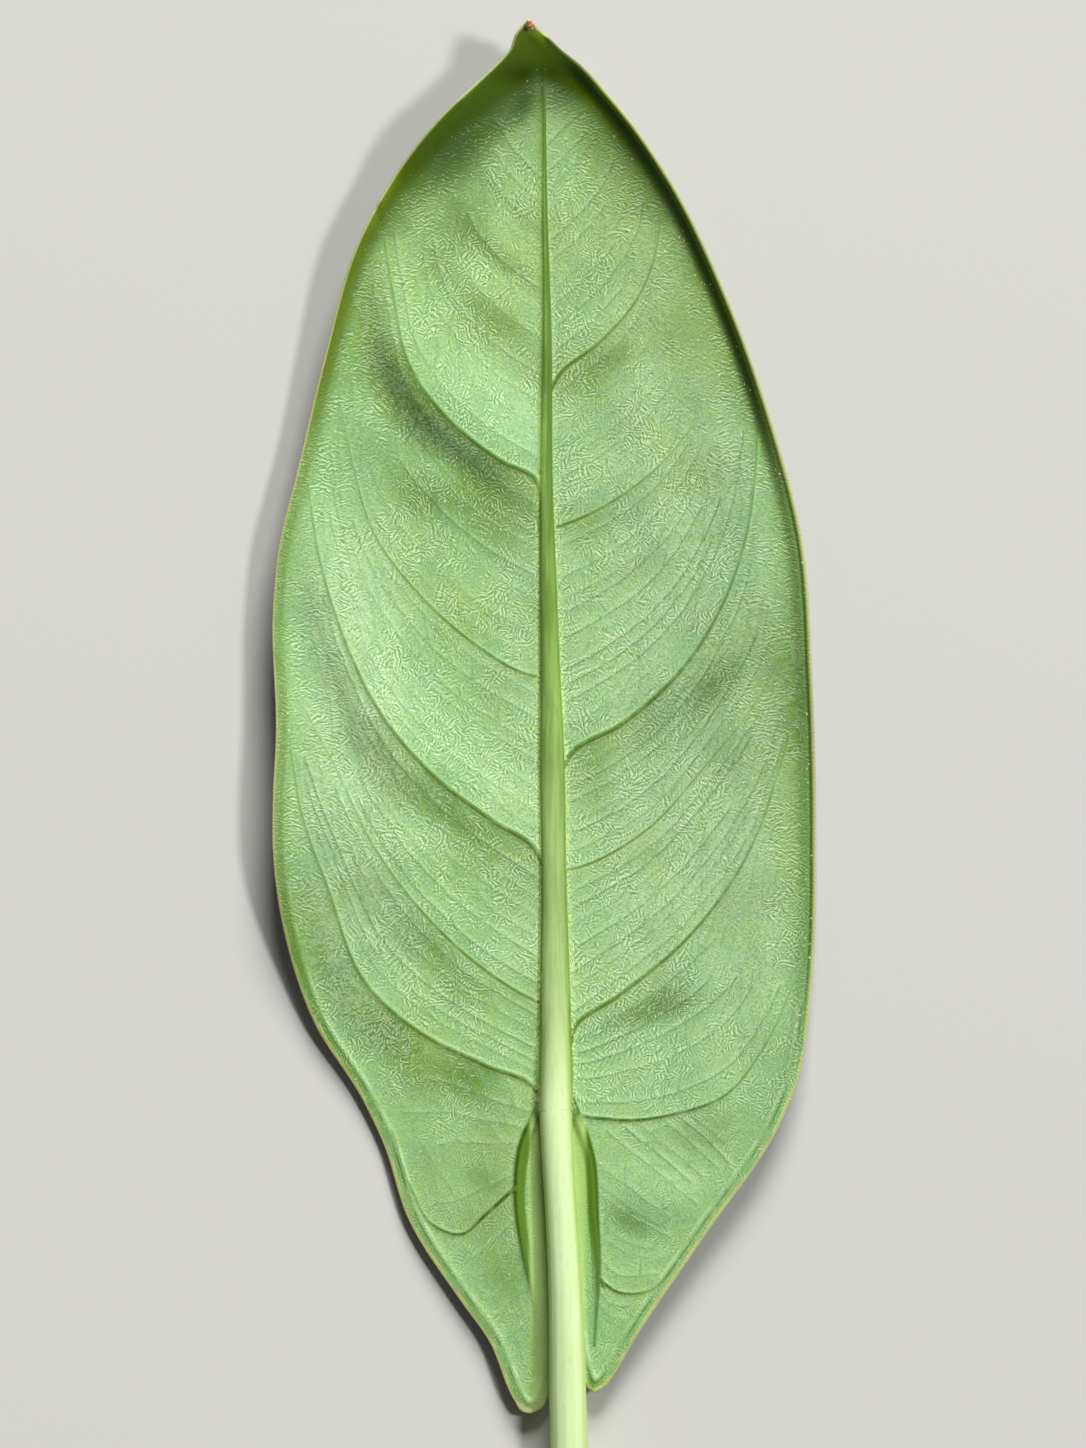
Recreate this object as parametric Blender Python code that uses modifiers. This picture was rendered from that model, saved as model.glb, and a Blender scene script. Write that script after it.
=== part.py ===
# Alocasia leaf, picked with its stalk and laid down with the underside up.
# X runs across the blade, Y towards the tip and Z up. The origin is on the small flat spot of the
# upper face, under the midrib and under the leaf's weight, where it rests. Sizes are in millimetres
# until a mesh is made, which is in metres.

from collections import namedtuple

import bmesh
import bpy
import numpy as np
from mathutils import Vector
from mathutils.geometry import delaunay_2d_cdt
from mathutils.kdtree import KDTree

MM = 0.001

# Driving sizes
BLADE_THICKNESS = 0.7
RIM_VEIN_INSET = 1.3
RIM_VEIN_HEIGHT = 0.2
TIP_HOOK_LENGTH = 12.0
TIP_HOOK_SLOPE = 0.9
TIP_HOOK_EASE = 2.5
TIP_HOOK_TURN = np.radians(25.0)
STALK_LENGTH = 150.0
STALK_END_RADIUS = 2.6
REST_CORNERS = [(0.5, 22.0), (-9.5, -9.0), (10.0, -9.0)]
REST_BLEND = 2.5
REST_CLEARANCE = 0.15

# Spacing of the sheet's points: along the rim, along the veins and in the open field; the least
# distance between two of them; and the rows beside a vein, as shares of its width
RIM_STEP = 2.0
VEIN_STEP = 1.9
FIELD_STEP = 2.8
FIELD_GAP = 0.62
CLOSEST = 0.5
FLANK_SHARE = 0.62
ROUNDING = 1e-6
MIDRIB_FOOT_SHARE = 0.58
MIDRIB_SHOULDER_SHARE = 0.38

# Margin of the blade as seen from above, from the tip down the right side to the right lobe, up and
# down the narrow cleft over which the stalk passes, and from the left lobe back up to the tip
TIP = (-2.8, 125.7)
RIGHT_MARGIN = [
    TIP, (-2.1, 124.8), (-0.8, 123.8), (1.0, 122.1), (3.8, 119.9), (7.9, 115.5), (15.3, 105.1),
    (22.8, 89.6), (28.4, 74.0), (32.4, 58.5), (33.7, 40.4), (34.2, 20.9), (33.7, 1.5), (31.9, -11.4),
    (29.8, -16.6), (19.4, -32.2), (10.7, -45.1), (8.1, -49.5), (7.0, -51.0), (5.6, -51.8),
]
CLEFT_RIGHT = [(5.6, -51.8), (4.7, -51.2), (3.9, -49.4), (2.8, -39.9), (1.9, -27.0), (1.4, -21.2)]
CLEFT_TOP = [(1.4, -21.2), (1.2, -19.6), (0.8, -19.0), (0.4, -19.6), (0.3, -21.2)]
CLEFT_LEFT = [
    (0.3, -21.2), (0.6, -27.0), (0.9, -39.9), (0.7, -47.0), (-0.4, -52.2), (-1.2, -53.8), (-2.6, -54.5),
]
LEFT_MARGIN = [
    (-2.6, -54.5), (-3.8, -54.2), (-4.6, -53.0), (-8.0, -45.1), (-11.7, -39.9), (-18.3, -29.6),
    (-21.8, -19.2), (-24.3, -14.0), (-30.7, -3.7), (-34.2, 6.7), (-35.9, 18.3), (-35.9, 24.8), (-35.5, 33.2),
    (-35.9, 49.4), (-35.1, 57.8), (-33.0, 66.3), (-29.3, 81.8), (-24.7, 97.3), (-14.4, 112.9),
    (-8.9, 118.1), (-6.5, 120.4), (-5.2, 121.9), (-4.5, 123.8), TIP,
]

# Midrib: places (x, y), then its width at each y
MIDRIB = [
    (-0.9, 119.0), (-0.8, 102.5), (-0.5, 85.0), (-0.6, 66.3), (-0.3, 50.7), (0.1, 32.6), (0.5, 1.5),
    (0.7, -18.0),
]
MIDRIB_WIDTH = [
    (-18.0, 1.2), (-16.0, 3.4), (-13.0, 4.3), (-6.0, 4.2), (16.0, 3.3), (31.3, 3.2), (37.8, 2.8),
    (50.7, 2.3), (66.3, 1.7), (79.2, 1.4), (102.5, 0.7), (119.0, 0.4),
]
MIDRIB_HEIGHT_TO_WIDTH = 0.5
FOOT_SHARE = 0.15

# Main side veins, each from the midrib outwards: places, width and height at the root, how far the
# blade itself swells up along the vein, and how far that swell reaches towards the tip and the stalk
SideVein = namedtuple("SideVein", "places width height swell reach_to_tip reach_to_stalk")
SIDE_VEINS = [
    SideVein([(-1.8, 66.0), (-6.6, 68.8), (-13.1, 74.0), (-16.3, 77.7), (-18.6, 81.8), (-20.3, 89.6),
              (-21.6, 97.3)], 1.2, 0.45, 3.2, 6.3, 3.6),
    SideVein([(-2.7, 41.0), (-10.5, 45.5), (-17.0, 51.4), (-22.8, 59.1), (-25.8, 68.8), (-27.3, 76.0)],
             0.9, 0.25, 0.1, 6.9, 3.1),
    SideVein([(-1.9, 18.3), (-7.3, 22.0), (-15.0, 27.8), (-21.5, 35.2), (-26.7, 45.5), (-29.9, 55.9),
              (-31.5, 65.6)], 1.2, 0.45, 2.2, 5.6, 4.4),
    SideVein([(-2.1, -1.1), (-8.5, 2.8), (-15.7, 9.3), (-22.5, 18.1), (-28.6, 30.4), (-32.2, 37.1)],
             0.9, 0.25, 1.2, 8.6, 4.3),
    SideVein([(-1.9, -12.7), (-8.5, -9.5), (-17.0, -5.2), (-23.8, 0.9), (-29.0, 13.8),
              (-32.2, 22.9), (-33.7, 31.3)], 1.2, 0.45, 1.1, 7.8, 4.0),
    SideVein([(0.9, 79.6), (6.3, 84.1), (11.1, 89.6), (13.7, 96.4), (14.1, 99.9)],
             1.1, 0.4, 1.0, 6.7, 3.6),
    SideVein([(1.4, 60.4), (8.3, 63.7), (14.1, 68.2), (19.3, 74.4)], 0.8, 0.2, 0.4, 6.7, 2.8),
    SideVein([(2.6, 30.8), (8.9, 34.5), (17.4, 42.3), (23.8, 54.0), (26.5, 67.6), (26.7, 72.7)],
             1.2, 0.45, 1.4, 7.3, 4.0),
    SideVein([(3.4, 16.1), (11.5, 20.3), (20.6, 30.0), (26.7, 37.8), (29.7, 43.3)],
             0.8, 0.2, 0.2, 7.0, 3.3),
    SideVein([(2.8, -5.2), (8.9, -0.4), (17.4, 6.7), (25.4, 17.7), (29.7, 29.4), (30.8, 33.2)],
             1.2, 0.45, 0.6, 6.7, 3.9),
    SideVein([(3.0, -15.3), (7.6, -16.5), (16.1, -15.8), (22.5, -13.4), (27.7, -6.9), (31.6, 1.5)],
             1.2, 0.45, 0.5, 6.4, 4.2),
]

# Ribs and veins of the two back lobes, in the same way
LOBE_VEINS = [
    SideVein([(-1.8, -15.6), (-3.6, -19.9), (-4.3, -25.7), (-3.4, -34.1), (-1.8, -42.5), (-2.1, -46.4)],
             1.5, 0.7, 1.2, 4.9, 2.6),
    SideVein([(-4.3, -25.0), (-8.3, -28.7), (-11.7, -31.4), (-15.4, -30.1), (-18.3, -25.0),
              (-20.6, -17.9)], 1.0, 0.4, 0.0, 7.0, 3.2),
    SideVein([(3.2, -15.8), (5.1, -21.5), (5.7, -29.1), (6.1, -36.4), (5.8, -42.6), (5.6, -45.8)],
             1.5, 0.7, 0.8, 7.6, 2.6),
    SideVein([(6.3, -37.3), (8.5, -38.8), (13.3, -38.4), (16.1, -35.0)], 0.9, 0.3, 0.0, 7.0, 3.3),
]
VEINS = SIDE_VEINS + LOBE_VEINS
SWELL_START = 0.12
SWELL_RUN = 0.8
SWELL_BEFORE_MIDRIB = 1.5
SWELL_FULL_BEYOND = 2.5
VEIN_END_SHARE = 0.35

# How high the blade bends up, as (y, lift): at its middle line and at each margin, then the last curl
# of the rim on each side, and how wide that curl is
MIDLINE_LIFT = [
    (-55.0, 1.3), (-35.0, 0.8), (-15.0, 0.5), (10.0, 0.1), (50.0, 0.0), (75.0, 0.5), (100.0, 1.3),
    (126.0, 2.6),
]
RIGHT_LIFT = [
    (-55.0, 0.6), (-35.0, 1.9), (-15.0, 2.8), (5.0, 2.6), (25.0, 3.2), (45.0, 5.6), (65.0, 4.4),
    (90.0, 3.0), (110.0, 2.4), (126.0, 0.8),
]
LEFT_LIFT = [
    (-55.0, 0.2), (-35.0, 0.0), (-16.0, 0.0), (0.0, 1.4), (18.0, 4.9), (33.0, 5.0), (50.0, 4.1),
    (72.0, 3.2), (90.0, 4.0), (110.0, 3.8), (126.0, 0.8),
]
RIGHT_CURL = [
    (-55.0, 0.5), (-10.0, 0.6), (30.0, 0.7), (55.0, 1.2), (75.0, 1.7), (90.0, 2.0), (105.0, 2.3),
    (115.0, 2.2), (126.0, 0.6),
]
LEFT_CURL = [
    (-55.0, 0.5), (30.0, 0.7), (70.0, 1.2), (88.0, 1.4), (97.0, 1.8), (105.0, 2.6), (112.0, 3.8),
    (119.0, 2.8), (126.0, 0.6),
]
RIGHT_CURL_WIDTH = [(-55.0, 4.0), (40.0, 3.6), (75.0, 2.4), (95.0, 2.5), (110.0, 3.2), (126.0, 5.0)]
LEFT_CURL_WIDTH = [(-55.0, 4.0), (60.0, 4.0), (97.0, 4.2), (105.0, 5.2), (112.0, 6.6), (126.0, 7.0)]
NARROW_REACH = 11.0
CUP_POWER = 2.4
CURL_POWER = 2.0

# Stalk: (x, y, height of its axis, radius), from its root inside the midrib to its cut end
STALK = [
    (0.5, 3.0, 1.7, 0.8), (0.5, -4.0, 2.2, 1.4), (0.6, -10.0, 2.7, 1.9), (0.6, -15.3, 3.1, 2.1),
    (0.8, -20.5, 3.6, 2.1), (1.2, -27.0, 4.1, 2.05), (1.9, -39.9, 4.8, 2.2), (2.2, -53.0, 5.1, 2.4),
    (2.6, -70.0, 5.0, 2.5), (3.6, -95.0, 4.4, 2.5), (4.4, -125.0, 3.5, 2.55),
]
STALK_ROOT_Y = -15.3
STALK_END_X = 4.2
STALK_STEP = 4.5
FLOOR_GAP = 0.4
SHARP_ANGLE = 0.9


def smooth_line(points, step):
    """A smooth line through the points, cut into even steps of about the given length."""
    places = np.array(points, float)
    chord = np.linalg.norm(np.diff(places, axis=0), axis=1)
    knots = np.concatenate(([0.0], np.cumsum(chord)))
    slopes = np.gradient(places, knots, axis=0)
    fine = np.linspace(0.0, knots[-1], 40 * len(places))
    span = np.clip(np.searchsorted(knots, fine, side="right") - 1, 0, len(chord) - 1)
    width = chord[span]
    t = ((fine - knots[span]) / width)[:, None]
    width = width[:, None]
    curve = (
        (2 * t**3 - 3 * t**2 + 1) * places[span]
        + (t**3 - 2 * t**2 + t) * width * slopes[span]
        + (3 * t**2 - 2 * t**3) * places[span + 1]
        + (t**3 - t**2) * width * slopes[span + 1]
    )
    run = np.concatenate(([0.0], np.cumsum(np.linalg.norm(np.diff(curve, axis=0), axis=1))))
    even = np.linspace(0.0, run[-1], max(2, round(run[-1] / step) + 1))
    return np.column_stack([np.interp(even, run, column) for column in curve.T])


def read_off(stations, y):
    """The smooth value at y of a list of (y, value) stations."""
    line = smooth_line(stations, 0.5)
    return np.interp(y, line[:, 0], line[:, 1])


def closest_on_line(points, line):
    """For each point: its distance to the line, the share of the line run there, and its side."""
    steps = np.linalg.norm(np.diff(line, axis=0), axis=1)
    run = np.concatenate(([0.0], np.cumsum(steps)))
    best = np.full(len(points), np.inf)
    share = np.zeros(len(points))
    side = np.ones(len(points))
    for start, end, step, before in zip(line[:-1], line[1:], steps, run[:-1]):
        along = (end - start) / step
        offset = points - start
        t = np.clip(offset @ along, 0.0, step)
        away = np.linalg.norm(offset - t[:, None] * along, axis=1)
        nearer = away < best
        best = np.where(nearer, away, best)
        share = np.where(nearer, (before + t) / run[-1], share)
        turn = along[0] * offset[:, 1] - along[1] * offset[:, 0]
        side = np.where(nearer, np.where(turn < 0.0, -1.0, 1.0), side)
    return best, share, side


def margin_loop(step):
    """The closed margin of the blade, as points in order round it."""
    runs = (RIGHT_MARGIN, CLEFT_RIGHT, CLEFT_TOP, CLEFT_LEFT, LEFT_MARGIN)
    return np.vstack([smooth_line(run, step)[:-1] for run in runs])


MARGIN_FINE = margin_loop(0.8)
RIGHT_FINE = smooth_line(RIGHT_MARGIN, 0.8)[::-1]
LEFT_FINE = smooth_line(LEFT_MARGIN, 0.8)
MIDRIB_FINE = smooth_line(MIDRIB, 2.0)[::-1]
VEIN_LINES = [smooth_line(vein.places, 1.5) for vein in VEINS]


def distance_to_margin(points):
    """How far each point lies from the blade's outline."""
    loop = np.vstack((MARGIN_FINE, MARGIN_FINE[:1]))
    return closest_on_line(points, loop)[0]


def hook_height(points):
    """The hooked tip: it eases in and then rises at a steady slope, towards the tip and a bit left."""
    x, y = (points - np.array(TIP)).T
    towards_tip = y * np.cos(TIP_HOOK_TURN) - x * np.sin(TIP_HOOK_TURN)
    run = np.maximum(TIP_HOOK_LENGTH + towards_tip, 0.0)
    return TIP_HOOK_SLOPE * (run - TIP_HOOK_EASE * (1.0 - np.exp(-run / TIP_HOOK_EASE)))


def cup_height(points):
    """The shallow boat: a flat middle with raised margins and a curled rim."""
    x, y = points.T
    middle = np.interp(y, MIDRIB_FINE[:, 1], MIDRIB_FINE[:, 0])
    right_edge = np.interp(y, RIGHT_FINE[:, 1], RIGHT_FINE[:, 0])
    left_edge = np.interp(y, LEFT_FINE[:, 1], LEFT_FINE[:, 0])
    on_right = x > middle
    reach = np.where(on_right, right_edge - middle, middle - left_edge)
    across = np.clip(np.abs(x - middle) / np.maximum(reach, 0.5), 0.0, 1.0)
    lift = np.where(on_right, read_off(RIGHT_LIFT, y), read_off(LEFT_LIFT, y))
    lift *= np.clip(reach / NARROW_REACH, 0.0, 1.0)
    curl = np.where(on_right, read_off(RIGHT_CURL, y), read_off(LEFT_CURL, y))
    width = np.where(on_right, read_off(RIGHT_CURL_WIDTH, y), read_off(LEFT_CURL_WIDTH, y))
    rim = np.clip(1.0 - distance_to_margin(points) / width, 0.0, 1.0) * across
    return read_off(MIDLINE_LIFT, y) + lift * across**CUP_POWER + curl * rim**CURL_POWER


def swell_height(points):
    """How far the blade bulges up along its main side veins. No swell crosses the midrib."""
    middle = np.interp(points[:, 1], MIDRIB_FINE[:, 1], MIDRIB_FINE[:, 0])
    height = np.zeros(len(points))
    for vein, line in zip(VEINS, VEIN_LINES):
        away, share, side = closest_on_line(points, line)
        outwards = np.sign(vein.places[-1][0])
        reach = np.where(side * outwards > 0, vein.reach_to_tip, vein.reach_to_stalk)
        beyond = (points[:, 0] - middle) * outwards + SWELL_BEFORE_MIDRIB
        own_side = np.clip(beyond / (SWELL_BEFORE_MIDRIB + SWELL_FULL_BEYOND), 0.0, 1.0)
        own_side = own_side**2 * (3.0 - 2.0 * own_side)
        fade = np.sin(np.pi * (SWELL_START + SWELL_RUN * share))
        height += vein.swell * fade * own_side * np.exp(-((away / reach) ** 2))
    return height


def rest_share(points):
    """0 in the flat triangle on which the blade rests, rising to 1 a little way outside it."""
    corners = np.array(REST_CORNERS)
    outside = np.full(len(points), -np.inf)
    for start, end in zip(corners, np.roll(corners, -1, axis=0)):
        along = (end - start) / np.linalg.norm(end - start)
        offset = points - start
        outside = np.maximum(outside, along[1] * offset[:, 0] - along[0] * offset[:, 1])
    return np.clip((outside - ROUNDING) / REST_BLEND, 0.0, 1.0)


def ridge(away, width, height):
    """Section of a raised vein: round on top, with a small fillet at each foot."""
    half = width / 2.0
    crown = np.sqrt(np.clip(1.0 - (away / half) ** 2, 0.0, 1.0))
    foot = np.exp(-((away / half) ** 2))
    return height * ((1.0 - FOOT_SHARE) * crown + FOOT_SHARE * foot)


def vein_height(points):
    """How far the veins stand out of the underside."""
    away, share, _ = closest_on_line(points, MIDRIB_FINE)
    width = read_off(MIDRIB_WIDTH, MIDRIB_FINE[0, 1] + share * (MIDRIB_FINE[-1, 1] - MIDRIB_FINE[0, 1]))
    height = ridge(away, width, MIDRIB_HEIGHT_TO_WIDTH * width)
    for vein, line in zip(VEINS, VEIN_LINES):
        away, share, _ = closest_on_line(points, line)
        taper = 1.0 - (1.0 - VEIN_END_SHARE) * share
        height = np.maximum(height, ridge(away, vein.width * taper, vein.height * taper))
    inset = np.abs(distance_to_margin(points) - RIM_VEIN_INSET)
    return np.maximum(height, ridge(inset, RIM_VEIN_INSET, RIM_VEIN_HEIGHT))


def beside(line, offset):
    """The line moved sideways in the plane; offset may change along it."""
    along = np.gradient(line, axis=0)
    along /= np.linalg.norm(along, axis=1)[:, None]
    return line + np.column_stack((-along[:, 1], along[:, 0])) * np.reshape(offset, (-1, 1))


def inside_margin(points, clearance):
    """Which points lie in the blade's outline, at least the clearance away from it."""
    x, y = points.T
    inside = np.zeros(len(points), bool)
    for (x0, y0), (x1, y1) in zip(MARGIN_FINE, np.roll(MARGIN_FINE, -1, axis=0)):
        if y0 == y1:
            continue
        crosses = (y0 > y) != (y1 > y)
        inside ^= crosses & (x < x0 + (y - y0) * (x1 - x0) / (y1 - y0))
    return inside & (distance_to_margin(points) > clearance)


class SheetPoints:
    """Gathers the points of the flat sheet, layer by layer, and leaves out those too close."""

    def __init__(self):
        self.places = []
        self.edges = []

    def far_enough(self, points, gap):
        """Which points lie at least the gap away from all that are already there."""
        tree = KDTree(len(self.places))
        for index, (x, y) in enumerate(self.places):
            tree.insert((x, y, 0.0), index)
        tree.balance()
        return np.array([tree.find((x, y, 0.0))[2] >= gap for x, y in points], bool)

    def add(self, points, gap, joined=False):
        """Adds a layer; with joined, neighbours along it are held together by an edge."""
        kept = self.far_enough(points, gap)
        last = None
        for point, keep in zip(points, kept):
            if not keep:
                last = None
                continue
            self.places.append(tuple(point))
            here = len(self.places) - 1
            if joined and last is not None:
                self.edges.append((last, here))
            last = here


def add_midrib_points(sheet):
    """The crest of the midrib, its feet and its shoulders."""
    crest = smooth_line(MIDRIB, VEIN_STEP)
    width = read_off(MIDRIB_WIDTH, crest[:, 1])
    sheet.add(crest, CLOSEST, joined=True)
    for share in (MIDRIB_FOOT_SHARE, MIDRIB_SHOULDER_SHARE):
        for offset in (-share * width, share * width):
            line = beside(crest, offset)
            sheet.add(line[inside_margin(line, CLOSEST)], CLOSEST, joined=share == MIDRIB_FOOT_SHARE)


def add_vein_points(sheet):
    """All crests of the side veins first, then a row on each flank."""
    for vein in VEINS:
        crest = smooth_line(vein.places, VEIN_STEP)
        sheet.add(crest[inside_margin(crest, CLOSEST)], CLOSEST, joined=True)
    for vein in VEINS:
        crest = smooth_line(vein.places, VEIN_STEP)
        for offset in (-FLANK_SHARE * vein.width, FLANK_SHARE * vein.width):
            flank = beside(crest, offset)
            sheet.add(flank[inside_margin(flank, CLOSEST)], CLOSEST)


def add_rim_points(sheet, margin):
    """Two rows inside the margin: the rim vein, and the start of the rim's curl."""
    for inset in (RIM_VEIN_INSET, 2.0 * RIM_VEIN_INSET):
        line = beside(np.vstack((margin, margin[:2])), -inset)[:-1]
        gap = 0.5 * inset
        sheet.add(line[inside_margin(line, gap)], gap)


def add_field_points(sheet):
    """An even field of points in rows, each row half a step along from the last."""
    rise = FIELD_STEP * 0.75**0.5
    low, high = MARGIN_FINE.min(axis=0), MARGIN_FINE.max(axis=0)
    rows = np.arange(low[1], high[1], rise)
    columns = np.arange(low[0], high[0], FIELD_STEP)
    shift = 0.5 * FIELD_STEP
    field = np.array([(x + shift * (row % 2), y) for row, y in enumerate(rows) for x in columns])
    gap = FIELD_GAP * FIELD_STEP
    sheet.add(field[inside_margin(field, gap)], gap)


def gather_sheet_points():
    """Margin, rest corners, midrib, veins and rim first, then an even field between them."""
    sheet = SheetPoints()
    margin = margin_loop(RIM_STEP)
    sheet.places = [tuple(point) for point in margin] + REST_CORNERS
    sheet.edges = [(i, (i + 1) % len(margin)) for i in range(len(margin))]
    add_midrib_points(sheet)
    add_vein_points(sheet)
    add_rim_points(sheet, margin)
    add_field_points(sheet)
    return sheet, len(margin)


def make_sheet():
    """The leaf's upper face as an open sheet of triangles bent to shape, and the blade's thickness at
    each of its points. The flat spot is filled from below, so the underside above it keeps its form."""
    sheet, margin_count = gather_sheet_points()
    flat = [Vector(place) for place in sheet.places]
    outline = [list(range(margin_count))]
    places, _, triangles, _, _, _ = delaunay_2d_cdt(flat, sheet.edges, outline, 1, 1e-4)
    plan = np.array([tuple(place) for place in places])
    form = REST_CLEARANCE + cup_height(plan) + hook_height(plan) + swell_height(plan)
    height = form * rest_share(plan)
    mesh = bpy.data.meshes.new("leaf")
    corners = np.column_stack((plan, height)) * MM
    mesh.from_pydata(corners.tolist(), [], triangles)
    face_up(mesh)
    return mesh, BLADE_THICKNESS + vein_height(plan) + form - height


def face_up(mesh):
    """Turns every face of a nearly flat sheet so that it faces up."""
    shape = bmesh.new()
    shape.from_mesh(mesh)
    down = [face for face in shape.faces if face.normal.z < 0.0]
    bmesh.ops.reverse_faces(shape, faces=down)
    shape.to_mesh(mesh)
    shape.free()


def make_blade(collection):
    """The blade: the sheet thickened upwards, more where a vein stands out of it."""
    mesh, thickness = make_sheet()
    blade = bpy.data.objects.new("leaf", mesh)
    collection.objects.link(blade)
    thickest = float(thickness.max())
    weights = blade.vertex_groups.new(name="thickness")
    for index, value in enumerate(thickness):
        weights.add([index], float(value) / thickest, "REPLACE")
    shell = blade.modifiers.new("thickness", "SOLIDIFY")
    shell.thickness = thickest * MM
    shell.offset = 1.0
    shell.vertex_group = weights.name
    shell.use_even_offset = False
    return blade


def make_stalk(collection):
    """The stalk as a round bar that thickens slowly and ends in a plain cut, just clear of the floor."""
    end = (STALK_END_X, STALK_ROOT_Y - STALK_LENGTH, STALK_END_RADIUS + FLOOR_GAP, STALK_END_RADIUS)
    route = smooth_line(STALK + [end], STALK_STEP)
    curve = bpy.data.curves.new("stalk", "CURVE")
    curve.dimensions = "3D"
    curve.bevel_depth = MM
    curve.bevel_resolution = 4
    curve.use_fill_caps = True
    spline = curve.splines.new("POLY")
    spline.points.add(len(route) - 1)
    for point, (x, y, z, radius) in zip(spline.points, route):
        point.co = (x * MM, y * MM, z * MM, 1.0)
        point.radius = radius
    source = bpy.data.objects.new("stalk_curve", curve)
    collection.objects.link(source)
    bpy.context.view_layer.update()
    evaluated = source.evaluated_get(bpy.context.evaluated_depsgraph_get())
    mesh = bpy.data.meshes.new_from_object(evaluated)
    bpy.data.objects.remove(source)
    bpy.data.curves.remove(curve)
    shape = bmesh.new()
    shape.from_mesh(mesh)
    bmesh.ops.remove_doubles(shape, verts=shape.verts, dist=1e-6)
    bmesh.ops.recalc_face_normals(shape, faces=shape.faces)
    shape.to_mesh(mesh)
    shape.free()
    stalk = bpy.data.objects.new("stalk", mesh)
    collection.objects.link(stalk)
    stalk.hide_render = True
    stalk.display_type = "WIRE"
    return stalk


def join_stalk(blade, stalk):
    """Blade and stalk grew as one piece: they are united and the helper is removed."""
    union = blade.modifiers.new("stalk", "BOOLEAN")
    union.operation = "UNION"
    union.object = stalk
    bpy.context.view_layer.update()
    evaluated = blade.evaluated_get(bpy.context.evaluated_depsgraph_get())
    mesh = bpy.data.meshes.new_from_object(evaluated)
    sheet = blade.data
    blade.modifiers.clear()
    blade.vertex_groups.clear()
    blade.data = mesh
    mesh.name = "leaf"
    bpy.data.meshes.remove(sheet)
    bpy.data.objects.remove(stalk)


def leaf_material():
    """Pale blue-green underside with a satin bloom."""
    material = bpy.data.materials.new("leaf_underside")
    material.use_nodes = True
    shader = material.node_tree.nodes["Principled BSDF"]
    shader.inputs["Base Color"].default_value = (0.36, 0.56, 0.28, 1.0)
    shader.inputs["Roughness"].default_value = 0.5
    shader.inputs["Metallic"].default_value = 0.0
    return material


def new_collection(name):
    collection = bpy.data.collections.new(name)
    bpy.context.scene.collection.children.link(collection)
    return collection


def main():
    for old in list(bpy.data.objects):
        bpy.data.objects.remove(old)
    parts = new_collection("alocasia_leaf")
    helpers = new_collection("helpers")
    blade = make_blade(parts)
    stalk = make_stalk(helpers)
    join_stalk(blade, stalk)
    blade.data.materials.clear()
    blade.data.materials.append(leaf_material())
    blade.data.shade_smooth()
    blade.data.set_sharp_from_angle(angle=SHARP_ANGLE)


main()
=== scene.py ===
# %% [markdown]
# # An alocasia leaf, seen on its underside
# The object is one cut leaf of an arrow-leaved houseplant. It lies with the pale underside up, so the
# raised midrib, the arching side veins, the two back lobes and the round stalk are all in view.
# The solid model of the leaf is loaded first as a fixed frame. Everything after it is made in the same
# frame: X across the blade, Y towards the tip, Z up, with sizes in millimetres until a mesh is made.

# %% Load the frame
from collections import namedtuple

import bmesh
import bpy
import numpy as np
from mathutils import Euler, Matrix, Vector
from mathutils.geometry import delaunay_2d_cdt
from mathutils.kdtree import KDTree


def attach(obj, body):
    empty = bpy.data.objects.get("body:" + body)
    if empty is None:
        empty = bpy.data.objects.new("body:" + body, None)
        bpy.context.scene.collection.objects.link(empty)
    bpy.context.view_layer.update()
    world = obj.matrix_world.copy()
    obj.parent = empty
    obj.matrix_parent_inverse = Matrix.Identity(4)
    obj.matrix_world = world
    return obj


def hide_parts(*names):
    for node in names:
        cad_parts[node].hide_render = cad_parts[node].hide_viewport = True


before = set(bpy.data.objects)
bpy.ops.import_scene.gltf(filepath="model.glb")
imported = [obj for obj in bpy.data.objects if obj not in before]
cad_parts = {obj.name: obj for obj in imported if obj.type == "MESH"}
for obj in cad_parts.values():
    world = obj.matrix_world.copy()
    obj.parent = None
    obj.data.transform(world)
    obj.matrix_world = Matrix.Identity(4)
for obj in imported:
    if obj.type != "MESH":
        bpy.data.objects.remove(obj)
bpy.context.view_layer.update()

MM = 0.001

# %% [markdown]
# ## The camera
# The leaf was photographed squarely from above, and its stalk runs out of the picture at the bottom.
# A camera could be placed by eye, but here the blade's length gives the scale: 180 mm are 1390 pixels
# of the photograph. A very long lens, far away, keeps the view nearly free of perspective, so the
# raised tip stays over its own place.

# %% Place the camera
PHOTO_HEIGHT_PIXELS = 1448
MM_PER_PIXEL = 180.0 / 1390.0
VIEW_CENTRE = (-1.04, 34.66)
VIEW_DISTANCE = 5.0
SENSOR = 36.0


def add_object(name, data):
    """Makes an object of the data and puts it into the scene."""
    made = bpy.data.objects.new(name, data)
    bpy.context.scene.collection.objects.link(made)
    return made


camera_data = bpy.data.cameras.new("camera")
camera_data.sensor_width = SENSOR
camera_data.lens = SENSOR * VIEW_DISTANCE / (PHOTO_HEIGHT_PIXELS * MM_PER_PIXEL * MM)
camera_data.clip_start = 0.01
camera = add_object("camera", camera_data)
camera.location = (VIEW_CENTRE[0] * MM, VIEW_CENTRE[1] * MM, VIEW_DISTANCE)
bpy.context.scene.camera = camera
print("lens of", round(camera_data.lens, 1), "mm")

# %% [markdown]
# ## Floor and light
# The main light falls over the tip from far up in the picture and a little from the right. It is what
# shows the swells along the veins and leaves the curled tip and the right rim in their own shade. A
# second panel hangs high on the right and lifts those shades, and a dim even sky fills in the rest. The
# satin skin would show the high panel as a grey sheen on every fold that faces it, so that lamp only
# lights the leaf and isn't seen in its gloss.


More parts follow.
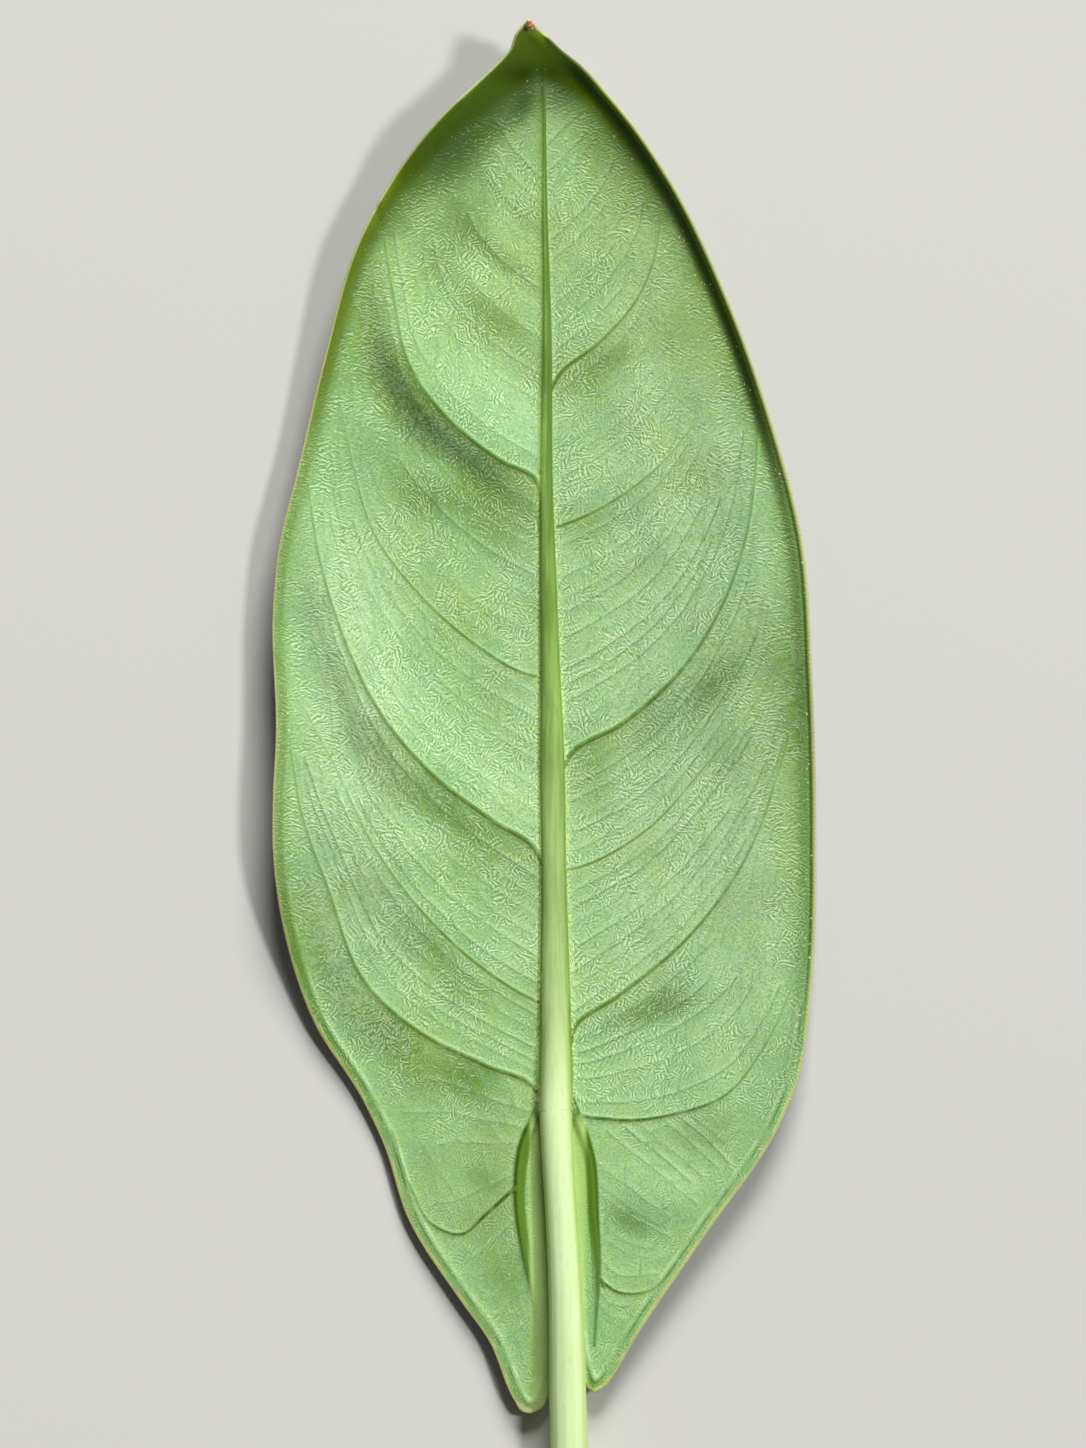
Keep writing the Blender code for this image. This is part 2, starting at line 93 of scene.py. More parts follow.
# %% Light the scene
def linear(red, green, blue):
    """A colour given in 0 to 255 screen values, as the light values a shader works with."""
    screen = np.array((red, green, blue)) / 255.0
    light = np.where(screen <= 0.04045, screen / 12.92, ((screen + 0.055) / 1.055) ** 2.4)
    return (*light.tolist(), 1.0)


def soft_panel(name, place, size, power):
    """A square lamp at place that faces the leaf."""
    data = bpy.data.lights.new(name, "AREA")
    data.size = size
    data.energy = power
    panel = add_object(name, data)
    panel.location = place
    panel.rotation_euler = place.to_track_quat("Z", "Y").to_euler()
    print(name, "of", size, "m at", round(place.length, 2), "m")
    return panel


MAIN_PANEL_DISTANCE = 4.0
MAIN_PANEL_HEIGHT_ANGLE = np.radians(31.0)
MAIN_PANEL_TURN = np.radians(79.0)
MAIN_PANEL_SIZE = 1.6
MAIN_PANEL_POWER = 196.0
HIGH_PANEL_PLACE = Vector((4.08, 1.01, 5.9))
HIGH_PANEL_SIZE = 0.9
HIGH_PANEL_POWER = 250.0
SKY_STRENGTH = 0.08

towards = Vector((
    np.cos(MAIN_PANEL_TURN) * np.cos(MAIN_PANEL_HEIGHT_ANGLE),
    np.sin(MAIN_PANEL_TURN) * np.cos(MAIN_PANEL_HEIGHT_ANGLE),
    np.sin(MAIN_PANEL_HEIGHT_ANGLE),
))
soft_panel("main_panel", towards * MAIN_PANEL_DISTANCE, MAIN_PANEL_SIZE, MAIN_PANEL_POWER)
high_panel = soft_panel("high_panel", HIGH_PANEL_PLACE, HIGH_PANEL_SIZE, HIGH_PANEL_POWER)
high_panel.visible_glossy = False

sky = bpy.data.worlds.new("sky")
sky.use_nodes = True
background = sky.node_tree.nodes["Background"].inputs
background["Color"].default_value = (1.0, 1.0, 1.0, 1.0)
background["Strength"].default_value = SKY_STRENGTH
bpy.context.scene.world = sky
bpy.context.scene.view_settings.view_transform = "Standard"

# %% Lay the floor
FLOOR_HALF = 15.0
FLOOR_COLOUR = linear(208, 207, 202)
FLOOR_ROUGHNESS = 0.8

floor_corners = [(x * FLOOR_HALF, y * FLOOR_HALF, 0.0) for x, y in ((-1, -1), (1, -1), (1, 1), (-1, 1))]
floor_mesh = bpy.data.meshes.new("floor")
floor_mesh.from_pydata(floor_corners, [], [(0, 1, 2, 3)])
floor_paint = bpy.data.materials.new("floor_paint")
floor_paint.use_nodes = True
floor_shader = floor_paint.node_tree.nodes["Principled BSDF"].inputs
floor_shader["Base Color"].default_value = FLOOR_COLOUR
floor_shader["Roughness"].default_value = FLOOR_ROUGHNESS
floor_mesh.materials.append(floor_paint)
floor = add_object("floor", floor_mesh)
print("floor of", 2 * FLOOR_HALF, "m")

# %% [markdown]
# ## Smooth lines
# Margins and veins of a leaf are long smooth lines. Each is stored as a few places it passes
# through. A curve object could draw them, but the blade needs to know how far every point of its
# surface lies from each line, so the lines are worked out as plain arrays of points.


# %% Tools for lines
def smooth_line(points, step):
    """A smooth line through the points, cut into even steps of about the given length."""
    places = np.array(points, float)
    chord = np.linalg.norm(np.diff(places, axis=0), axis=1)
    knots = np.concatenate(([0.0], np.cumsum(chord)))
    slopes = np.gradient(places, knots, axis=0)
    fine = np.linspace(0.0, knots[-1], 40 * len(places))
    span = np.clip(np.searchsorted(knots, fine, side="right") - 1, 0, len(chord) - 1)
    width = chord[span]
    t = ((fine - knots[span]) / width)[:, None]
    width = width[:, None]
    curve = (
        (2 * t**3 - 3 * t**2 + 1) * places[span]
        + (t**3 - 2 * t**2 + t) * width * slopes[span]
        + (3 * t**2 - 2 * t**3) * places[span + 1]
        + (t**3 - t**2) * width * slopes[span + 1]
    )
    return even_steps(curve, step)


def even_steps(curve, step=None, count=None):
    """The same line cut into even steps, of a length or of a number."""
    run = np.concatenate(([0.0], np.cumsum(np.linalg.norm(np.diff(curve, axis=0), axis=1))))
    count = count or max(2, round(run[-1] / step) + 1)
    even = np.linspace(0.0, run[-1], count)
    return np.column_stack([np.interp(even, run, column) for column in curve.T])


def read_off(stations, y):
    """The smooth value at y of a list of (y, value) stations."""
    line = smooth_line(stations, 0.5)
    return np.interp(y, line[:, 0], line[:, 1])


def closest_on_line(points, line):
    """For each point: its distance to the line, the share of the line run there, and its side."""
    steps = np.linalg.norm(np.diff(line, axis=0), axis=1)
    run = np.concatenate(([0.0], np.cumsum(steps)))
    best = np.full(len(points), np.inf)
    share = np.zeros(len(points))
    side = np.ones(len(points))
    for start, end, step, before in zip(line[:-1], line[1:], steps, run[:-1]):
        along = (end - start) / step
        offset = points - start
        t = np.clip(offset @ along, 0.0, step)
        away = np.linalg.norm(offset - t[:, None] * along, axis=1)
        nearer = away < best
        best = np.where(nearer, away, best)
        share = np.where(nearer, (before + t) / run[-1], share)
        turn = along[0] * offset[:, 1] - along[1] * offset[:, 0]
        side = np.where(nearer, np.where(turn < 0.0, -1.0, 1.0), side)
    return best, share, side


def beside(line, offset):
    """The line moved sideways in the plane; offset may change along it."""
    along = np.gradient(line, axis=0)
    along /= np.maximum(np.linalg.norm(along, axis=1), 1e-9)[:, None]
    return line + np.column_stack((-along[:, 1], along[:, 0])) * np.reshape(offset, (-1, 1))


def soft_step(value, start, end):
    """0 before start, 1 after end, and a smooth rise between them."""
    t = np.clip((value - start) / (end - start), 0.0, 1.0)
    return t * t * (3.0 - 2.0 * t)


print("a test line has", len(smooth_line([(0, 0), (5, 1), (9, 4)], 0.5)), "points")

# %% [markdown]
# ## The outline
# The blade is a long shield: a hooked tip, nearly straight sides, and two back lobes with a narrow
# cleft between them, over which the stalk passes. The outline runs from the tip down the right side,
# through the cleft, and from the left lobe back up. It is the same outline as the solid's.

# %% Outline of the blade
TIP = (-2.8, 125.7)
RIGHT_MARGIN = [
    TIP, (-2.1, 124.8), (-0.8, 123.8), (1, 122.1), (3.8, 119.9), (7.9, 115.5), (15.3, 105.1),
    (22.8, 89.6), (28.4, 74), (32.4, 58.5), (33.7, 40.4), (34.2, 20.9), (33.7, 1.5), (31.9, -11.4),
    (29.8, -16.6), (19.4, -32.2), (10.7, -45.1), (8.1, -49.5), (7, -51), (5.6, -51.8),
]
CLEFT_RIGHT = [(5.6, -51.8), (4.7, -51.2), (3.9, -49.4), (2.8, -39.9), (1.9, -27), (1.4, -21.2)]
CLEFT_TOP = [(1.4, -21.2), (1.2, -19.6), (0.8, -19), (0.4, -19.6), (0.3, -21.2)]
CLEFT_LEFT = [
    (0.3, -21.2), (0.6, -27), (0.9, -39.9), (0.7, -47), (-0.4, -52.2), (-1.2, -53.8), (-2.6, -54.5),
]
LEFT_MARGIN = [
    (-2.6, -54.5), (-3.8, -54.2), (-4.6, -53), (-8, -45.1), (-11.7, -39.9), (-18.3, -29.6),
    (-21.8, -19.2), (-24.3, -14), (-30.7, -3.7), (-34.2, 6.7), (-35.9, 18.3), (-35.9, 24.8),
    (-35.5, 33.2), (-35.9, 49.4), (-35.1, 57.8), (-33, 66.3), (-29.3, 81.8), (-24.7, 97.3),
    (-14.4, 112.9), (-8.9, 118.1), (-6.5, 120.4), (-5.2, 121.9), (-4.5, 123.8), TIP,
]


def margin_loop(step):
    """The closed margin of the blade, as points in order round it."""
    runs = (RIGHT_MARGIN, CLEFT_RIGHT, CLEFT_TOP, CLEFT_LEFT, LEFT_MARGIN)
    return np.vstack([smooth_line(run, step)[:-1] for run in runs])


MARGIN_FINE = margin_loop(0.8)
RIGHT_FINE = smooth_line(RIGHT_MARGIN, 0.8)[::-1]
LEFT_FINE = smooth_line(LEFT_MARGIN, 0.8)


def distance_to_margin(points):
    """How far each point lies from the blade's outline."""
    return closest_on_line(points, np.vstack((MARGIN_FINE, MARGIN_FINE[:1])))[0]


def inside_margin(points, clearance):
    """Which points lie in the blade's outline, at least the clearance away from it."""
    x, y = points.T
    inside = np.zeros(len(points), bool)
    for (x0, y0), (x1, y1) in zip(MARGIN_FINE, np.roll(MARGIN_FINE, -1, axis=0)):
        if y0 == y1:
            continue
        crosses = (y0 > y) != (y1 > y)
        inside ^= crosses & (x < x0 + (y - y0) * (x1 - x0) / (y1 - y0))
    return inside & (distance_to_margin(points) > clearance)


print("outline of", len(MARGIN_FINE), "points, blade", np.ptp(MARGIN_FINE, axis=0).round(1), "mm")

# %% [markdown]
# ## Midrib and main side veins
# The midrib widens from the tip to the stalk. From it the main side veins leave at a slant and arch
# towards the tip, and each back lobe has a rib of its own. For every vein the table holds its places,
# width and height, how far the blade swells up along it, and how far that swell reaches on the side
# of the tip and on the side of the stalk. The light shows these swells as bright and dark bands.

# %% The vein tables
MIDRIB = [
    (-0.9, 119), (-0.8, 102.5), (-0.5, 85), (-0.6, 66.3), (-0.3, 50.7), (0.1, 32.6), (0.5, 1.5),
    (0.7, -18),
]
MIDRIB_WIDTH = [
    (-18, 1.2), (-16, 3.4), (-13, 4.3), (-6, 4.2), (16, 3.3), (31.3, 3.2), (37.8, 2.8), (50.7, 2.3),
    (66.3, 1.7), (79.2, 1.4), (102.5, 0.7), (119, 0.4),
]
MIDRIB_FINE = smooth_line(MIDRIB, 2.0)[::-1]

Vein = namedtuple("Vein", "places width height swell reach_up reach_down")
VEINS = {
    "left_1": Vein([(-1.8, 66), (-6.6, 68.8), (-13.1, 74), (-16.3, 77.7), (-18.6, 81.8), (-20.3, 89.6),
        (-21.6, 97.3)], 0.8, 0.28, 3.2, 6.3, 3.6),
    "left_2": Vein([(-2.7, 41), (-10.5, 45.5), (-17, 51.4), (-22.8, 59.1), (-25.8, 68.8), (-27.3, 76)],
        0.55, 0.14, 0.1, 6.9, 3.1),
    "left_3": Vein([(-1.9, 18.3), (-7.3, 22), (-15, 27.8), (-21.5, 35.2), (-26.7, 45.5), (-29.9, 55.9),
        (-31.5, 65.6)], 0.85, 0.3, 2.2, 5.6, 4.4),
    "left_4": Vein([(-2.1, -1.1), (-8.5, 2.8), (-15.7, 9.3), (-22.5, 18.1), (-28.6, 30.4), (-32.2, 37.1)],
        0.55, 0.14, 1.2, 8.6, 4.3),
    "left_5": Vein([(-1.9, -12.7), (-8.5, -9.5), (-17, -5.2), (-23.8, 0.9), (-29, 13.8), (-32.2, 22.9),
        (-33.7, 31.3)], 0.8, 0.28, 1.1, 7.8, 4),
    "right_1": Vein([(0.9, 79.6), (6.3, 84.1), (11.1, 89.6), (13.7, 96.4), (14.1, 99.9)],
        0.7, 0.24, 1, 6.7, 3.6),
    "right_2": Vein([(1.4, 60.4), (8.3, 63.7), (14.1, 68.2), (19.3, 74.4)], 0.55, 0.12, 0.4, 6.7, 2.8),
    "right_3": Vein([(2.6, 30.8), (8.9, 34.5), (17.4, 42.3), (23.8, 54), (26.5, 67.6), (26.7, 72.7)],
        0.85, 0.3, 1.4, 7.3, 4),
    "right_4": Vein([(3.4, 16.1), (11.5, 20.3), (20.6, 30), (26.7, 37.8), (29.7, 43.3)],
        0.5, 0.12, 0.2, 7, 3.3),
    "right_5": Vein([(2.8, -5.2), (8.9, -0.4), (17.4, 6.7), (25.4, 17.7), (29.7, 29.4), (30.8, 33.2)],
        0.8, 0.28, 0.6, 6.7, 3.9),
    "right_6": Vein([(2.3, -13.2), (3, -15.3), (7.6, -16.5), (16.1, -15.8), (22.5, -13.4), (27.7, -6.9),
        (31.6, 1.5)], 0.7, 0.26, 0.5, 6.4, 4.2),
    "left_lobe_rib": Vein([(-0.9, -13.4), (-1.8, -15.6), (-3.6, -19.9), (-4.3, -25.7), (-3.4, -34.1),
        (-1.8, -42.5), (-2.1, -46.4)], 1.5, 0.5, 1.2, 4.9, 2.6),
    "left_lobe_branch": Vein([(-4.3, -25), (-8.3, -28.7), (-11.7, -31.4), (-15.4, -30.1), (-18.3, -25),
        (-20.6, -17.9)], 0.7, 0.24, 0, 7, 3.2),
    "right_lobe_rib": Vein([(2.2, -13.4), (3.2, -15.8), (5.1, -21.5), (5.7, -29.1), (6.1, -36.4),
        (5.8, -42.6), (5.6, -45.8)], 1.5, 0.5, 0.8, 7.6, 2.6),
    "right_lobe_branch": Vein([(6.3, -37.3), (8.5, -38.8), (13.3, -38.4), (16.1, -35)],
        0.6, 0.2, 0, 7, 3.3),
}
STRONG_ROOT_DROP = 1.8
WEAK_ROOT_DROP = 0.35
ROOT_SUNK = 0.25
STRONG = ("left_1", "left_3", "left_5", "right_1", "right_3", "right_5")


def rooted(name):
    """The vein's places with a root added. A strong vein bends down along the midrib's side before it
    joins, and a weak one runs straight in."""
    places = VEINS[name].places
    if "lobe" in name or name == "right_6":
        return places
    y = places[0][1] - (STRONG_ROOT_DROP if name in STRONG else WEAK_ROOT_DROP)
    middle = np.interp(y, MIDRIB_FINE[:, 1], MIDRIB_FINE[:, 0])
    half = np.interp(y, *np.array(MIDRIB_WIDTH).T) / 2.0
    return [(middle + np.sign(places[-1][0]) * (half - ROOT_SUNK), y)] + places


VEIN_LINES = {name: smooth_line(rooted(name), 0.4) for name in VEINS}
VEIN_END_SHARE = 0.35

# %% [markdown]
# Between the main veins lie weaker folds without a strong vein of their own. Near the tip they look
# like the barbs of a feather. They are stored in the same way, and a negative height is a hollow.

# %% The folds
Fold = namedtuple("Fold", "places swell reach_up reach_down")
FOLDS = [
    Fold([(-1.4, 99.7), (-5.1, 102.8), (-7.6, 106.1), (-9.5, 108.7)], 0.3, 3, 2),
    Fold([(-1.4, 92.8), (-5.6, 95.5), (-9.2, 99.4), (-11.8, 103.6)], 0.53, 3.2, 1.7),
    Fold([(-1.4, 84.4), (-6.6, 88.8), (-11.1, 92.2), (-14.4, 96), (-17, 100.6)], 0.5, 2.7, 2.4),
    Fold([(-1.4, 76.6), (-6.6, 80.5), (-10.5, 83.7), (-13.7, 87.2)], -0.16, 2.7, 2.2),
    Fold([(-1.7, 63), (-6.6, 63.9), (-12.4, 65.2), (-18.3, 68.6), (-22.8, 73.4), (-25.8, 79.2)],
         0.62, 3, 3.7),
    Fold([(-1.7, 52), (-7.9, 55.3), (-13.7, 59.8), (-18.3, 65)], -0.25, 3, 3.7),
    Fold([(-2.1, 11.2), (-9.2, 16), (-15.7, 18.1), (-21.5, 20.9), (-26.7, 26.1)], 0.38, 3.3, 3.4),
    Fold([(0.6, 99.9), (4.4, 102.5), (7.6, 105.4), (10, 108.3)], -0.08, 3, 2.4),
    Fold([(0.6, 87.2), (5.1, 89.6), (9.6, 93.5), (11.5, 97.3)], -0.21, 3.2, 2.4),
    Fold([(1.8, 50.7), (7.6, 54.6), (13.5, 59.8), (18, 65), (21.9, 71.4)], 0.15, 3, 2.6),
    Fold([(12.8, 2.2), (19.3, 0), (23.2, 0.9), (27.7, 4.8), (31.6, 8.6)], 0.16, 2.9, 2.5),
    Fold([(6.3, -26.3), (11.5, -25), (16.7, -27.6), (19.9, -25.7)], 0.45, 3.8, 3.4),
    Fold([(-3.4, -20.5), (-9.2, -19.9), (-14.4, -20.5), (-18.3, -20.5)], 0.11, 2.9, 2.5),
]
print("folds:", len(FOLDS))
print("veins:", len(VEINS), "and the midrib, together",
      round(sum(1.5 * len(line) for line in VEIN_LINES.values())), "mm of side vein")

# %% [markdown]
# ## Fine veins
# Between two main veins run many thin ones, nearly parallel to them, and short cross links join
# these. Drawing each by hand would take long and look no better. Every fine vein is a blend of the
# two main veins on either side of it, with a small wobble and an end of its own. At the tip and in the
# lobes, where a main vein is missing on one side, a guide line takes its place.

# %% Where the fine veins run
Family = namedtuple("Family", "lower upper count ends strength")
GUIDES = {
    "tip_left": [(-1, 113), (-2.6, 115.2), (-4.6, 116.6)],
    "tip_right": [(-0.6, 113), (1.2, 115), (3.4, 116)],
    "left_base": [(-1.9, -12.7), (-8.5, -9.5), (-17, -5.2), (-24.8, -4.9), (-28.6, -5.4)],
    "left_lobe_side": [(-4.3, -25), (-8.3, -28.7), (-11.7, -31.4), (-15.4, -30.1)],
    "left_lobe_end": [(-2.4, -45.5), (-4, -47.5), (-6, -48)],
    "right_lobe_fan": [(5.1, -18.6), (11.5, -23.7), (18, -28.9)],
    "right_shoulder": [(21.5, -15.6), (24, -18), (25.5, -20)],
    "right_lobe_side": [(6.3, -36.4), (8.5, -38.2), (13.3, -37.4)],
    "right_lobe_end": [(5.8, -45), (6.6, -47.5), (7.6, -48.2)],
}
GUIDES.update({name: vein.places for name, vein in VEINS.items()})
FAMILIES = [
    Family("left_1", "tip_left", 12, (0.5, 1.0), 0.6),
    Family("left_2", "left_1", 7, (0.45, 1.0), 0.55),
    Family("left_3", "left_2", 7, (0.5, 1.0), 0.7),
    Family("left_4", "left_3", 6, (0.5, 1.0), 0.7),
    Family("left_5", "left_4", 5, (0.5, 1.0), 0.7),
    Family("right_1", "tip_right", 10, (0.5, 1.0), 0.6),
    Family("right_2", "right_1", 6, (0.5, 1.0), 0.6),
    Family("right_3", "right_2", 9, (0.5, 1.0), 0.75),
    Family("right_4", "right_3", 6, (0.5, 1.0), 0.7),
    Family("right_5", "right_4", 7, (0.5, 1.0), 0.75),
    Family("right_6", "right_5", 5, (0.5, 1.0), 0.7),
    Family("left_lobe_side", "left_base", 4, (0.6, 1.0), 0.55),
    Family("left_lobe_end", "left_lobe_side", 5, (0.6, 0.95), 0.45),
    Family("right_lobe_side", "right_lobe_fan", 6, (0.7, 1.0), 0.75),
    Family("right_lobe_fan", "right_shoulder", 6, (0.7, 1.0), 0.75),
    Family("right_lobe_end", "right_lobe_side", 3, (0.6, 0.95), 0.45),
]
rng = np.random.default_rng(20)
LINE_POINTS = 60
FINE_WOBBLE = 0.06
WOBBLE_WAVES = (17.0, 9.0, 4.0)
LINK_SPACING = 4.5


def wobbled(line, size):
    """The line with a slow sideways wobble that starts from nothing."""
    share = np.linspace(0.0, 1.0, len(line))
    length = np.linalg.norm(np.diff(line, axis=0), axis=1).sum()
    offset = np.zeros(len(line))
    for wavelength in WOBBLE_WAVES:
        turns = share * length / wavelength + rng.uniform()
        offset += np.sin(2 * np.pi * turns) * rng.uniform(0.3, 1.0)
    return beside(line, size * offset * np.minimum(1.0, share * 6.0))


def fine_lines(family):
    """The fine veins of one family and the links between them, each with its strength."""
    low = even_steps(smooth_line(GUIDES[family.lower], 0.5), count=LINE_POINTS)
    high = even_steps(smooth_line(GUIDES[family.upper], 0.5), count=LINE_POINTS)
    made = []
    rails = [low]
    for index in range(1, family.count + 1):
        t = (index + rng.uniform(-0.32, 0.32)) / (family.count + 1)
        line = wobbled((1.0 - t) * low + t * high, FINE_WOBBLE)
        rails.append(line)
        last = max(8, int(LINE_POINTS * rng.uniform(*family.ends)))
        made.append((line[:last], family.strength * rng.uniform(0.35, 1.25)))
    rails.append(high)
    for first, second in zip(rails[:-1], rails[1:]):
        length = np.linalg.norm(np.diff(first, axis=0), axis=1).sum()
        for _ in range(int(length / LINK_SPACING)):
            start = rng.integers(6, LINE_POINTS - 8)
            end = np.clip(start + rng.integers(-3, 9), 2, LINE_POINTS - 1)
            middle = (first[start] + second[end]) / 2 + rng.uniform(-0.3, 0.3, 2)
            if np.linalg.norm(first[start] - second[end]) > 1.0:
                made.append((smooth_line([first[start], middle, second[end]], 0.3),
                             0.5 * family.strength * rng.uniform(0.5, 1.0)))
    return made


FINE_VEINS = [entry for family in FAMILIES for entry in fine_lines(family)]
print("fine veins and links:", len(FINE_VEINS))

# %% [markdown]
# ## How the blade bends
# The blade is a shallow boat. Its middle lies low, its margins rise and curl, the tip bends up into
# a hook, and a soft swell follows each main vein. Sculpting this would be free but hard to repeat.
# Here each form is a short formula over the flat outline, so it matches the solid below it.

# %% Heights of the blade
BLADE_THICKNESS = 0.7
REST_CLEARANCE = 0.15
LIP_WIDTH = 1.0
LIP_DROP = 0.05
LIP_DROP_PER_CURL = 0.5
NARROW_REACH = 11.0
RIM_VEIN_INSET = 1.3
TIP_HOOK_LENGTH = 12.0
TIP_HOOK_SLOPE = 0.9
TIP_HOOK_EASE = 2.5
TIP_HOOK_TURN = np.radians(25.0)
MIDRIB_HEIGHT_TO_WIDTH = 0.5
FOOT_SHARE = 0.15
REST_CORNERS = [(0.5, 22.0), (-9.5, -9.0), (10.0, -9.0)]
REST_BLEND = 2.5
MIDLINE_LIFT = [(-55, 1.3), (-35, 0.8), (-15, 0.5), (10, 0.1), (50, 0), (75, 0.5), (100, 1.3), (126, 2.6)]
RIGHT_LIFT = [
    (-55, 0.6), (-35, 1.9), (-15, 2.8), (5, 2.6), (25, 3.2), (45, 5.6), (65, 4.4), (90, 3), (110, 2.4),
    (126, 0.8),
]
LEFT_LIFT = [
    (-55, 0.2), (-35, 0), (-16, 0), (0, 1.4), (18, 4.9), (33, 5), (50, 4.1), (72, 3.2), (90, 4),
    (110, 3.8), (126, 0.8),
]
RIGHT_CURL = [
    (-55, 0.5), (-10, 0.6), (30, 0.7), (55, 1.2), (75, 1.7), (90, 2), (105, 2.3), (115, 2.2), (126, 0.6),
]
LEFT_CURL = [
    (-55, 0.2), (-15, 0.25), (10, 0.5), (30, 0.7), (70, 1.2), (88, 1.4), (97, 1.8), (105, 2.6),
    (112, 3.8), (119, 2.8), (126, 0.6),
]
RIGHT_CURL_WIDTH = [(-55, 4), (40, 3.6), (75, 2.4), (95, 2.5), (110, 3.2), (126, 5)]
LEFT_CURL_WIDTH = [(-55, 4), (60, 4), (97, 4.2), (105, 5.2), (112, 6.6), (126, 7)]
CURL_POWER = 2.0
LIFT_POWER = 2.4
UNEVENNESS = 0.12
UNEVEN_WAVES = (9.0, 14.0, 23.0)
UNEVEN_SEED = 5


def cup_height(points, rim_distance):
    """The shallow boat: a flat middle with raised margins, a curled rim and the hooked tip."""
    x, y = points.T
    middle = np.interp(y, MIDRIB_FINE[:, 1], MIDRIB_FINE[:, 0])
    right_edge = np.interp(y, RIGHT_FINE[:, 1], RIGHT_FINE[:, 0])
    left_edge = np.interp(y, LEFT_FINE[:, 1], LEFT_FINE[:, 0])
    on_right = x > middle
    reach = np.where(on_right, right_edge - middle, middle - left_edge)
    across = np.clip(np.abs(x - middle) / np.maximum(reach, 0.5), 0.0, 1.0)
    lift = np.where(on_right, read_off(RIGHT_LIFT, y), read_off(LEFT_LIFT, y))
    curl = np.where(on_right, read_off(RIGHT_CURL, y), read_off(LEFT_CURL, y))
    lift *= np.clip(reach / NARROW_REACH, 0.0, 1.0)
    width = np.where(on_right, read_off(RIGHT_CURL_WIDTH, y), read_off(LEFT_CURL_WIDTH, y))
    rim = np.clip(1.0 - rim_distance / width, 0.0, 1.0) * across
    towards_tip = (y - TIP[1]) * np.cos(TIP_HOOK_TURN) - (x - TIP[0]) * np.sin(TIP_HOOK_TURN)
    run = np.maximum(TIP_HOOK_LENGTH + towards_tip, 0.0)
    hook = TIP_HOOK_SLOPE * (run - TIP_HOOK_EASE * (1.0 - np.exp(-run / TIP_HOOK_EASE)))
    lip = (LIP_DROP + LIP_DROP_PER_CURL * curl) * np.clip(1.0 - rim_distance / LIP_WIDTH, 0.0, 1.0) ** 2
    margins = lift * across**LIFT_POWER + curl * rim**CURL_POWER - lip
    return read_off(MIDLINE_LIFT, y) + margins + hook


def rest_share(points):
    """0 in the flat triangle on which the blade rests, rising to 1 a little way outside it."""
    corners = np.array(REST_CORNERS)
    outside = np.full(len(points), -np.inf)
    for start, end in zip(corners, np.roll(corners, -1, axis=0)):
        along = (end - start) / np.linalg.norm(end - start)
        offset = points - start
        outside = np.maximum(outside, along[1] * offset[:, 0] - along[0] * offset[:, 1])
    return np.clip(outside / REST_BLEND, 0.0, 1.0)


def ridge(away, width, height):
    """Section of a raised vein: round on top, with a small fillet at each foot."""
    half = width / 2.0
    crown = np.sqrt(np.clip(1.0 - (away / half) ** 2, 0.0, 1.0))
    return height * ((1.0 - FOOT_SHARE) * crown + FOOT_SHARE * np.exp(-((away / half) ** 2)))


def unevenness(points):
    """A few crossed waves with random directions: no blade is quite even."""
    draw = np.random.default_rng(UNEVEN_SEED)
    total = np.zeros(len(points))
    for wavelength in UNEVEN_WAVES:
        for _ in range(3):
            turn, phase = draw.uniform(0.0, 2 * np.pi, 2)
            direction = np.array((np.cos(turn), np.sin(turn)))
            total += np.sin(2 * np.pi * (points @ direction) / wavelength + phase)
    return UNEVENNESS * total / (3 * len(UNEVEN_WAVES)) ** 0.5


print("rest spot corners:", REST_CORNERS)

# %% [markdown]
# ## The stalk's line
# The stalk grows out of the midrib, passes over the cleft and runs on as a round bar that gets a
# little thicker. The photograph cuts it off. The whole stalk is taken as 150 mm long.

# %% Where the stalk runs
STALK = [
    (0.5, 3, 1.7, 0.8), (0.5, -4, 2.2, 1.4), (0.6, -10, 2.7, 1.9), (0.6, -15.3, 3.1, 2.1),
    (0.8, -20.5, 3.6, 2.1), (1.2, -27, 4.1, 2.05), (1.9, -39.9, 4.8, 2.2), (2.2, -53, 5.1, 2.4),
    (2.6, -70, 5, 2.5), (3.6, -95, 4.4, 2.5), (4.4, -125, 3.5, 2.55), (4.2, -165.3, 3, 2.6),
]
STALK_FINE = smooth_line(STALK, 0.5)[::-1]
ROOT_TOP = 3.0
LEAVING = (-15.5, -18.5)
LEAVING_DROP = 4.0
FLANK = 0.9
FLANK_SLOPE = FLANK / (1.0 - FLANK**2) ** 0.5


def stalk_at(y):
    """Middle, height of the axis and radius of the stalk at each y."""
    return [np.interp(y, STALK_FINE[:, 1], STALK_FINE[:, column]) for column in (0, 2, 3)]


def stalk_crown(points):
    """Height of the stalk's upper side over the blade, down to where it leaves the blade."""
    x, y = points.T
    middle, axis, radius = stalk_at(y)
    away = np.abs(x - middle) / radius
    crown = np.sqrt(1.0 - np.minimum(away, FLANK) ** 2) - FLANK_SLOPE * np.maximum(away - FLANK, 0.0)
    gone = soft_step(-y, -LEAVING[0], -LEAVING[1]) * LEAVING_DROP + np.maximum(y - ROOT_TOP, 0.0)
    return axis + radius * crown - gone


CORE_SHARE = [(-18, 1), (-14, 0.95), (-7.5, 0.62), (0, 0.38), (5, 0.3), (18, 0.22), (31, 0.1), (50, 0)]


def stalk_share(points, midrib):
    """How far a point of the underside belongs to the pale stalk: its core first, then all of it."""
    x, y = points.T
    middle, _, radius = stalk_at(y)
    away = np.abs(x - middle) / radius
    core = soft_step(-midrib, 0.1, 0.7) * read_off(CORE_SHARE, y)
    whole = (1.0 - soft_step(away, 0.8, 1.12)) * soft_step(-y, 6.0, 14.5)
    return np.maximum(core, whole)


